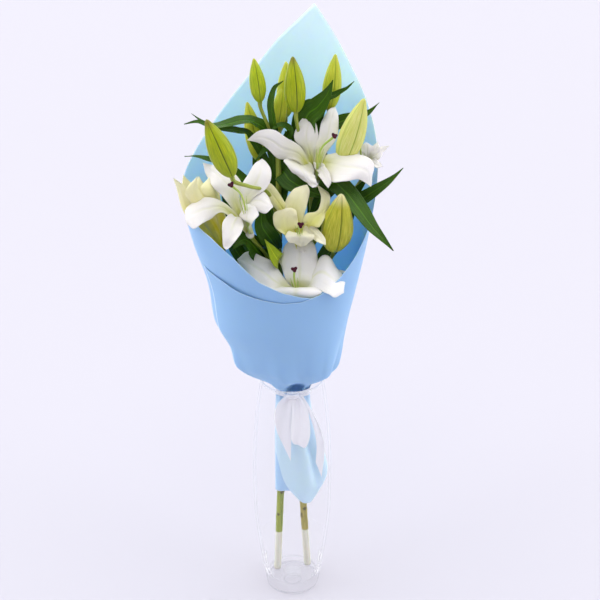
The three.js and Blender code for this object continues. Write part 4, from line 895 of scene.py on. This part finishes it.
def leaf(line, width, face, twist, number):
    def width_at(v):
        return (6.5 * (1 - v) ** 3 + width * np.sin(np.pi * v**0.95) ** 0.95) * (1 - 0.4 * v**6) + 0.5

    def edge(v, across):
        slow = 0.9 * np.sin(9 * v + number) * across * np.abs(across)
        return slow + 0.5 * np.sin(23 * v + 2 * number) * across**4

    place = blade(line, face, width_at, lambda v: 0.5 - 0.25 * v, edge, math.radians(twist))
    finishes = (leaf_young, leaf_young) if number == YOUNG_LEAF else (leaf_upper, leaf_under)
    return thicken(paint(grid_piece("leaf", *LEAF_CELLS, place), *finishes), LEAF_THICKNESS, back_slot=1)


def stem_bumps(angle, v):
    """Scars where the lowest leaves were stripped, which wind round the stem."""
    bumps = 0
    for k in range(26):
        at, side = (k + 0.5) / 30 * 0.5, (2.4 * k) % (2 * np.pi)
        facing = np.cos(angle - side)
        ring = np.exp(-(((v - at) / 0.0035) ** 2))
        bumps = bumps + 0.7 * ring * (facing > 0.3) * np.clip(facing, 0, 1) ** 2
    return bumps


for side, stem in STEMS.items():
    main = rod(stem["route"], lambda v: STEM_RADIUS * (1 - STEM_TAPER * v * v), flute=stem_bumps)
    parts = [grid_piece("stem", 24, 220, main, closed=True)]
    for name, points in stem["stalks"].items():
        stalk = rod([*points, *flower_seat(name)], lambda v: STALK_RADIUS + 1.1 * v**8 + 0.8 * (1 - v) ** 6)
        parts.append(grid_piece("stalk", 16, 36, stalk, closed=True))
    for part in parts:
        paint(part, stem_skin)
    for number, (owner, *shape) in enumerate(LEAVES):
        if owner == side:
            parts.append(leaf(*shape, number))
    settle(joined(f"lily_stem_{side}", parts), f"leafy_stem_{side}")
print("leafy stems:", len(STEMS), "with leaves:", len(LEAVES))

# %% [markdown]
# ## The paper
# One sheet of matte blue paper is rolled round the stems: it starts at the
# front right, goes behind as a pointed hood, and comes round again to overlap
# in front. It bulges over the vase's mouth, is drawn in tightly at the tie, and
# its lower end fans out inside the glass.

# %% Paper material


def paper_finish(name, main, shade, glow, depth, low, high):
    finish = Finish(name, Roughness=0.7, Specular_IOR_Level=0.2,
                    Subsurface_Weight=glow, Subsurface_Scale=depth,
                    Sheen_Weight=0.22, Sheen_Roughness=0.45, Sheen_Tint=colour(0.75, 0.92, 1.0))
    finish.shader.inputs["Subsurface Radius"].default_value = (0.6, 0.7, 1.5)
    place = finish.object_place()
    clouds = finish.noise(place, 7.0, 2.0)
    fibres = finish.noise(place, 420.0, 4.0)
    base = finish.mix(finish.range(clouds, 0.35, 0.7), colour(*main), colour(*shade))
    height = finish.parts(place)[2]
    across, along = finish.across_and_along()
    # Tinted low and high by height: on the inside these are painted shade deep in the cone and painted light
    # at the top of the hood. The outside gets its main blue for both, so it is not tinted.
    base = finish.mix(finish.range(height, 0.52, 0.64, 0.9, 0.0), base, colour(*low))
    base = finish.mix(finish.range(height, 0.68, 0.84, 0.0, 0.9), base, colour(*high))
    # Painted light: below the tie the paper is lightened, fully on the outer layer and only a little on the
    # inner one, which so keeps a painted shadow under the outer layer.
    outer_layer = finish.range(across, 0.42, 0.5, 0.35, 1.0)
    painted_light_below_tie = finish.times(finish.range(height, 0.3, 0.345, 0.8, 0.0), outer_layer)
    base = finish.mix(painted_light_below_tie, base, colour(0.68, 0.86, 0.97))
    cut = finish.most(*(finish.range(finish.distance(way), 0.4955, 0.497) for way in (across, along)))
    base = finish.mix(finish.times(cut, 0.45), base, colour(0.75, 0.88, 1.0))
    finish.set("Base_Color", base)
    finish.bump(fibres, 0.08, 0.5)
    return finish.material


# Main and shaded blue, glow and its depth, and the blues that tint it low and high, which on the inside are
# painted shade and painted light.
OUTSIDE_BLUE = (0.315, 0.535, 0.83)
paper_outside = paper_finish(
    "blue paper, outside", OUTSIDE_BLUE, (0.29, 0.51, 0.82), 0.3, 0.0004, OUTSIDE_BLUE, OUTSIDE_BLUE)
paper_inside = paper_finish(
    "blue paper, inside", (0.57, 0.79, 1.0), (0.53, 0.76, 1.0), 0.85, 0.0015,
    (0.36, 0.62, 0.7), (0.7, 0.94, 1.0))

# %% [markdown]
# ## Rolling the paper
# The body table gives, for each height, how far the paper reaches to the left,
# to the right and in depth. The rim and foot tables give the height of the upper
# and lower edge for each angle round the cone.

# %% Paper
PAPER_THICKNESS = 0.4
PAPER_OVERLAP_STEP = 2.2  # how far the inner end lies inside the outer one
PAPER_ENDS = (311, -154)  # degrees: the inner end at the front right, the outer at the left
PAPER_WAIST, PAPER_CHEST = 300, 480  # heights between which the rows run level
PAPER_CELLS = (250, 185)
TIE_HEIGHT = 334
PAPER_BODY = [
    (130, -26, 42, 22), (165, -27, 47, 23), (200, -27, 52, 24), (222, -27, 49, 24),
    (250, -27, 40, 23), (300, -26, 29, 20), (327, -25, 26, 19),
    (340, -25, 26, 19), (345.5, -31, 32, 25), (351.4, -40, 41, 30), (354, -46, 49, 34), (366, -64, 62, 48),
    (384, -84, 68, 60), (412, -92, 73, 68), (448, -110, 80, 78), (498, -116, 91, 85), (562, -134, 103, 96),
    (631, -148, 112, 106), (700, -156, 118, 112), (780, -164, 126, 117), (860, -170, 134, 120),
]
PAPER_RIM = [
    (-156, 540), (-132, 527), (-120, 517), (-105, 508), (-90, 503), (-75, 504), (-60, 512), (-45, 530),
    (-30, 554), (-15, 586), (0, 640), (15, 694), (30, 736), (45, 776), (60, 822), (71, 856), (90, 808),
    (105, 762), (120, 724), (135, 690), (150, 664), (165, 642), (180, 622), (195, 614), (210, 604),
    (225, 590), (240, 566), (255, 534), (270, 519), (285, 510), (312, 500),
]
PAPER_FOOT = [
    (-156, 238), (-150, 230), (-128, 187), (-100, 166), (-75, 153), (-62, 152), (-45, 162), (-27, 179),
    (0, 198), (60, 200), (110, 196), (150, 184), (180, 166), (215, 168), (250, 172), (312, 160),
]


def ridged(turn):
    """A wave with sharp ridges, as in folded paper."""
    return np.arcsin(0.96 * np.sin(turn)) / 1.29


def paper_surface(angle, z):
    """The sheet's outer face before its layers are spaced apart. angle is in degrees."""
    round_front = (angle + 180) % 360 - 180
    # The front hangs lower than the rest just above the tie, as a pointed bottom.
    sag = 9 * np.exp(-(((round_front + 107) / 15) ** 2)) - 2 * np.exp(-(((round_front + 78) / 12) ** 2))
    sag = sag * np.clip((z - 326) / 10, 0, 1) * np.clip((376 - z) / 20, 0, 1)
    left, right, depth = (flow(PAPER_BODY, z + sag, column) for column in (1, 2, 3))
    turn = np.radians(angle)
    centre, reach = (left + right) / 2, (right - left) / 2
    gathered = np.exp(-(((z - TIE_HEIGHT - 4) / 15) ** 2))
    swell = 1.5 * gathered * ridged(13 * turn + 0.8)
    drawn = np.clip((z - 353) / 16, 0, 1) * np.clip((455 - z) / 85, 0, 1) ** 1.5
    swell = swell + drawn * (3.4 * ridged(7 * turn + 0.7) + 1.6 * ridged(12 * turn + 2.2))
    swell = swell + 1.2 * np.clip((TIE_HEIGHT - z) / 120, 0, 1) * np.cos(5 * turn + 1.0)
    swell = swell + 1.8 * np.clip((z - 400) / 200, 0, 1) * np.sin(2.0 * turn + 0.6 + z / 90)
    hanging = np.clip((TIE_HEIGHT - 12 - z) / 40, 0, 1) * np.clip((z - 178) / 30, 0, 1)
    swell = swell - 9 * hanging * np.exp(-(((round_front + 50) / 13) ** 2))
    x = centre + (reach + swell) * np.cos(turn)
    y = (depth + swell) * np.sin(turn) - 1
    arch = np.clip(1 - ((x - 3) / 14) ** 2 - ((z - 348) / 15) ** 2, 0, 1) ** 0.5
    y = np.where(y < 0, y + 11 * arch, y)
    return np.stack([x, y, z], axis=-1)


def paper_place(u, v):
    first, last = PAPER_ENDS
    angle = first + (last - first) * u
    foot, top = flow(PAPER_FOOT, angle), read(PAPER_RIM, angle)
    low = foot + (PAPER_WAIST - foot) * v / 0.3
    middle = PAPER_WAIST + (PAPER_CHEST - PAPER_WAIST) * (v - 0.3) / 0.4
    high = PAPER_CHEST + (top - PAPER_CHEST) * (v - 0.7) / 0.3
    z = np.where(v < 0.3, low, np.where(v < 0.7, middle, high))
    here = paper_surface(angle, z)
    round_it = paper_surface(angle + 1, z) - paper_surface(angle - 1, z)
    up_it = paper_surface(angle, z + 1) - paper_surface(angle, z - 1)
    outward = unit(np.cross(round_it, up_it))
    inset = PAPER_OVERLAP_STEP * (1 - u) + PAPER_THICKNESS
    lift = 2.6 * np.exp(-(((angle + 122) / 15) ** 2)) * np.clip((z - top + 26) / 26, 0, 1) ** 2
    return here - outward * (inset - lift)[:, None]


paper = paint(grid_piece("paper_wrap_sheet", *PAPER_CELLS, paper_place), paper_inside, paper_outside)
thicken(paper, PAPER_THICKNESS, back_slot=1)
settle(paper, "paper_wrap")
print("paper points:", len(paper.data.vertices))

# %% [markdown]
# ## The ribbon
# The ribbon is thin white satin. It goes once round the paper's neck, is
# knotted in front, and leaves two tails and a loop that hang inside the glass.

# %% Ribbon
def satin_material():
    satin = Finish("white satin", Roughness=0.34, Sheen_Weight=0.3,
                   Subsurface_Weight=0.3, Subsurface_Scale=0.0005)
    satin.shader.inputs["Subsurface Radius"].default_value = (1.0, 1.0, 1.0)
    across, _ = satin.across_and_along()
    threads = satin.noise(satin.uv(), 6.0, 3.0, (60.0, 1.5, 1.0))
    cloth = satin.mix(satin.range(threads, 0.35, 0.7), colour(0.93, 0.91, 0.97), colour(0.98, 0.96, 1.0))
    # Painted highlight: the satin is made whiter along both edges.
    edge_curl_and_shine = satin.range(satin.distance(across), 0.455, 0.475)
    satin.set("Base_Color", satin.mix(edge_curl_and_shine, cloth, colour(1.0, 1.0, 1.0)))
    satin.bump(threads, 0.12, 0.6)
    return satin.material


satin_skin = satin_material()
TIE_CENTRE = (0.5, -1)
TIE_RADII = (25, 19)
RIBBON_WIDTH, RIBBON_THICKNESS = 25, 0.25
RIBBON_BAND = 10  # width of the part drawn tight round the paper

# Each hanging strip is drawn between its two edges, from the knot to its end.
RIBBON_STRIPS = {
    "left_tail": {
        "left": [(-7, -25, 336), (-20, -27, 322), (-25, -28.5, 305), (-24, -29.5, 290), (-21, -30, 276)],
        "right": [(1, -25, 336), (0, -29, 318), (-1, -31, 290), (-1, -31, 262), (-2, -30, 230)],
        "folds": 1.5,
    },
    "loop": {
        "left": [(0, -26, 336), (0, -32, 318), (-1, -37, 292), (-1, -38, 272), (3, -35.5, 262), (6, -31, 268),
                 (7, -29, 296), (5, -26, 330)],
        "right": [(10, -26, 336), (20, -31, 322), (25, -37, 300), (25.5, -40, 276), (20, -38.5, 258),
                  (14, -33, 258), (16, -30, 290), (9, -26, 330)],
        "folds": 2.0,
    },
    "right_tail": {
        "left": [(9, -25, 336), (20, -25, 316), (30, -23.5, 284), (35, -21.5, 252), (34, -20.5, 222)],
        "right": [(14, -25, 336), (26, -24, 314), (40, -22, 280), (47, -19.5, 244), (43, -19.5, 196)],
        "folds": 1.0,
    },
}


def strip_place(strip):
    """Points between two edges, rippled where the strip leaves the knot."""
    left, along = smooth_curve(strip["left"])
    right, _ = smooth_curve(strip["right"])

    def place(u, v):
        near, far, way = rows_at(v, left, right, along)
        out = unit(np.cross(far - near, way))
        ripple = 1.1 * np.cos(2 * np.pi * strip["folds"] * u + 3 * v) * (1 - 0.75 * np.clip(v * 1.5, 0, 1))
        edge_curl_and_shine = 0.35 * np.cos(np.pi * (2 * u - 1))
        return near + (far - near) * u[:, None] + out * (ripple + edge_curl_and_shine)[:, None]

    return place


def band_place(u, v):
    angle = 2 * np.pi * u
    reach = 1.4 + 0.5 * np.cos(2 * np.pi * 3 * v) + 0.3 * np.sin(9 * angle)
    return np.stack([
        TIE_CENTRE[0] + (TIE_RADII[0] + reach) * np.cos(angle),
        TIE_CENTRE[1] + (TIE_RADII[1] + reach) * np.sin(angle),
        TIE_HEIGHT + (v - 0.5) * RIBBON_BAND + 0.6 * np.sin(2 * angle),
    ], axis=1)


ribbon_parts = [grid_piece("band", 96, 14, band_place)]
for name, strip in RIBBON_STRIPS.items():
    ribbon_parts.append(grid_piece(name, 30, 80, strip_place(strip)))
for part in ribbon_parts:
    thicken(paint(part, satin_skin), RIBBON_THICKNESS)
knot = rod([(-8, -26.5, 335), (1, -28, 336), (10, -26.5, 335)], lambda v: 1.4 + 4 * np.sin(np.pi * v) ** 0.7,
           flute=lambda angle, v: 0.5 * np.cos(7 * angle) * np.sin(np.pi * v))
ribbon_parts.append(paint(grid_piece("knot", 48, 24, knot, closed=True), satin_skin))
ribbon = settle(joined("satin_ribbon", ribbon_parts), "ribbon")
print("ribbon parts:", len(ribbon_parts))

# %% [markdown]
# ## The vase and the water
# The vase is blown glass: a barrel with a heavy solid foot and a thin ground
# rim. It is drawn as a ring that is pulled up the outside, over the rim, down
# the inside and closed across the floor, so its wall has a real thickness. Its
# finish is only a clear film, which doesn't bend light: it grows paler towards
# the outline as a painted reflection, and the rim's painted white highlight,
# painted dark lines at the foot, the floor's edge and a dimple, which stand in
# for light bent by the thick glass, and some painted glints are marks at set
# heights, given in metres.

# %% Glass
VASE_HEIGHT = 350
VASE_WALL = 3.2
VASE_FLOOR = 15  # thickness of the solid foot
VASE_HEEL = 9  # above the floor, where the inner wall begins
VASE_OUTSIDE = [(0, 39), (42, 46), (92, 53.2), (140, 57.4), (190, 58), (247, 56.5), (300, 52), (350, 45)]


def grazing(finish):
    """0 where the surface is seen face on, 1 at its outline."""
    return finish.node("ShaderNodeLayerWeight", Blend=0.5).outputs["Facing"]


def glass_material():
    glass = Finish("clear glass", Roughness=0.05, IOR=1.45)
    edge_on = grazing(glass)
    place = glass.object_place()
    x, y, height = glass.parts(place)
    flat = glass.node("ShaderNodeCombineXYZ", X=x, Y=y).outputs[0]
    reach = glass.node("ShaderNodeVectorMath", {"operation": "LENGTH"}, i0=flat).outputs["Value"]
    # Painted reflection: the film turns grey and more opaque towards the outline.
    edge = glass.range(edge_on, 0.72, 1.0, 0.03, 0.62)
    # Painted highlight: a white band round the rim.
    rim_highlight = glass.range(height, 0.3475, 0.3485, 0.0, 0.6)
    # Painted dark lines at the foot's edge, the floor's edge and the dimple, standing in for light bent by
    # the thick glass; the tint below darkens them.
    foot = glass.times(glass.band(height, 0.003, 0.0035, 0.4), glass.range(reach, 0.0375, 0.0385))
    heel = glass.times(glass.band(height, 0.0172, 0.002, 0.3), glass.range(reach, 0.0385, 0.0395, 1.0, 0.0))
    dimple = glass.times(glass.band(reach, 0.0125, 0.003, 0.3), glass.range(height, 0.018, 0.02, 1.0, 0.0))
    dark = glass.most(foot, heel, dimple)
    glints = glass.range(glass.noise(place, 260.0, 1.0, (1.0, 1.0, 0.5)), 0.46, 0.52)
    glints = glass.times(glints, glass.band(height, 0.034, 0.018, 1.0))
    glints = glass.times(glints, glass.range(edge_on, 0.55, 0.7))
    tint = glass.mix(dark, colour(0.76, 0.77, 0.82), colour(0.3, 0.31, 0.36))
    glass.set("Base_Color", glass.mix(glass.most(glints, rim_highlight), tint, colour(1.0, 1.0, 1.0)))
    glass.set("Alpha", glass.most(edge, rim_highlight, glints, dark))
    glass.bump(glass.noise(place, 22.0, 1.0), 0.25, 0.25)
    return glass.material


def water_material():
    water = Finish("water", Roughness=0.05, IOR=1.33)
    # The water is a pale film that grows more opaque towards its outline, a painted reflection.
    water.set("Base_Color", colour(0.9, 0.9, 0.95))
    water.set("Alpha", water.range(grazing(water), 0.7, 1.0, 0.04, 0.25))
    return water.material


def turned_piece(name, rings, segments=96):
    """A closed solid of revolution: a disc pulled from ring to ring, each a radius and a height."""
    bpy.ops.object.select_all(action="DESELECT")
    radius, height = rings[0]
    bpy.ops.mesh.primitive_circle_add(
        vertices=segments, radius=radius * MM, fill_type="NGON", location=(0, 0, 0))
    piece = bpy.context.object
    bpy.ops.object.mode_set(mode="EDIT")
    bpy.ops.mesh.select_all(action="SELECT")
    bpy.ops.transform.translate(value=(0, 0, height * MM))
    for (r0, z0), (r1, z1) in zip(rings, rings[1:]):
        bpy.ops.mesh.extrude_region_move(TRANSFORM_OT_translate={"value": (0, 0, (z1 - z0) * MM)})
        bpy.ops.transform.resize(value=(r1 / r0, r1 / r0, 1), center_override=(0, 0, z1 * MM))
    bpy.ops.mesh.select_all(action="SELECT")
    bpy.ops.mesh.normals_make_consistent(inside=False)
    bpy.ops.object.mode_set(mode="OBJECT")
    bpy.ops.object.shade_smooth()
    piece.name = name
    return piece


def outside_radius(z):
    return float(flow(VASE_OUTSIDE, np.array(z)))


outer = [(outside_radius(z), z) for z in np.linspace(4, VASE_HEIGHT - 2, 40)]
inner = [(outside_radius(z) - VASE_WALL, z) for z in np.linspace(VASE_HEIGHT - 2, VASE_FLOOR + VASE_HEEL, 38)]
floor_radius = outside_radius(VASE_FLOOR) - VASE_WALL
vase_rings = [
    (20, 0.0), (37.4, 0.0), (38.6, 0.5), (39.2, 1.8), *outer,
    (44.4, VASE_HEIGHT - 0.6), (43.6, VASE_HEIGHT), (42.8, VASE_HEIGHT - 0.4), *inner,
    (floor_radius - 1.2, VASE_FLOOR + 3.5), (floor_radius - 4, VASE_FLOOR + 1),
    (floor_radius - 8, VASE_FLOOR), (16, VASE_FLOOR), (13, VASE_FLOOR + 0.6),
    (9, VASE_FLOOR + 1.8), (3, VASE_FLOOR + 2.2),
]
vase = paint(turned_piece("glass_vase", vase_rings), glass_material())
settle(vase, "vase")
print("vase rings:", len(vase_rings))

# %% [markdown]
# ## The water
# It fills the foot of the vase a hair's breadth inside the glass, with a low
# raised edge round its surface where it clings to the wall.

# %% Water
WATER_LEVEL = 82
WATER_GAP = 0.15
water_wall = [(outside_radius(z) - VASE_WALL - WATER_GAP, z)
              for z in np.linspace(VASE_FLOOR + VASE_HEEL, WATER_LEVEL, 12)]
water_rings = [
    (3, VASE_FLOOR + 2.35), (9, VASE_FLOOR + 1.95), (13, VASE_FLOOR + 0.75), (16, VASE_FLOOR + 0.15),
    (floor_radius - 8, VASE_FLOOR + 0.15), (floor_radius - 4, VASE_FLOOR + 1.15),
    (floor_radius - 1.4, VASE_FLOOR + 3.65), *water_wall, (water_wall[-1][0], WATER_LEVEL + 0.6),
    (water_wall[-1][0] - 1.5, WATER_LEVEL), (5, WATER_LEVEL),
]
water = paint(turned_piece("vase_water", water_rings), water_material())
settle(water, "water")
print("water level:", WATER_LEVEL, "mm")

# %% [markdown]
# ## Floor and light
# The bouquet stands on a plain pale floor in a light tent: broad soft lamps at
# both sides and above, so there are hardly any shadows.

# %% Floor, lamps and surroundings
FLOOR_SIZE = 80
TENT_FRONT, TENT_BACK = 0.2, 1.5  # brightness of the surroundings
BOUNCES = 24  # enough to see through every film of glass and water
bpy.ops.mesh.primitive_plane_add(size=FLOOR_SIZE, location=(0, 0, -0.0002))
floor = bpy.context.object
floor.name = "floor"
paint(floor, Finish("pale floor", Roughness=0.9, Base_Color=colour(0.53, 0.517, 0.57)).material)

world = bpy.data.worlds.new("light tent")
bpy.context.scene.world = world
world.use_nodes = True
tent = world.node_tree
sky = tent.nodes["Background"]
sky.inputs["Color"].default_value = colour(0.95, 0.95, 1.0)
way = tent.nodes.new("ShaderNodeSeparateXYZ")
tent.links.new(tent.nodes.new("ShaderNodeTexCoord").outputs["Generated"], way.inputs[0])
depth = tent.nodes.new("ShaderNodeMapRange")
tent.links.new(way.outputs[1], depth.inputs["Value"])
for key, value in (("From Min", -1), ("From Max", 1), ("To Min", TENT_FRONT), ("To Max", TENT_BACK)):
    depth.inputs[key].default_value = value
tent.links.new(depth.outputs[0], sky.inputs["Strength"])


def lamp(name, azimuth, elevation, strength, spread):
    """A very wide far lamp: azimuth 0 is the viewer's right and 90 is behind the vase."""
    bpy.ops.object.light_add(type="SUN", location=(0, 0, 3))
    light = bpy.context.object
    light.name = name
    light.data.energy = strength
    light.data.angle = math.radians(spread)
    light.rotation_euler = (0, math.radians(90 - elevation), math.radians(azimuth))


lamp("left lamp", 176, 34, 1.35, 70)
lamp("right lamp", 4, 34, 1.35, 70)
lamp("top lamp", -100, 74, 1.2, 60)
bpy.context.scene.view_settings.view_transform = "Standard"
bpy.context.scene.cycles.max_bounces = BOUNCES
bpy.context.scene.cycles.transparent_max_bounces = BOUNCES
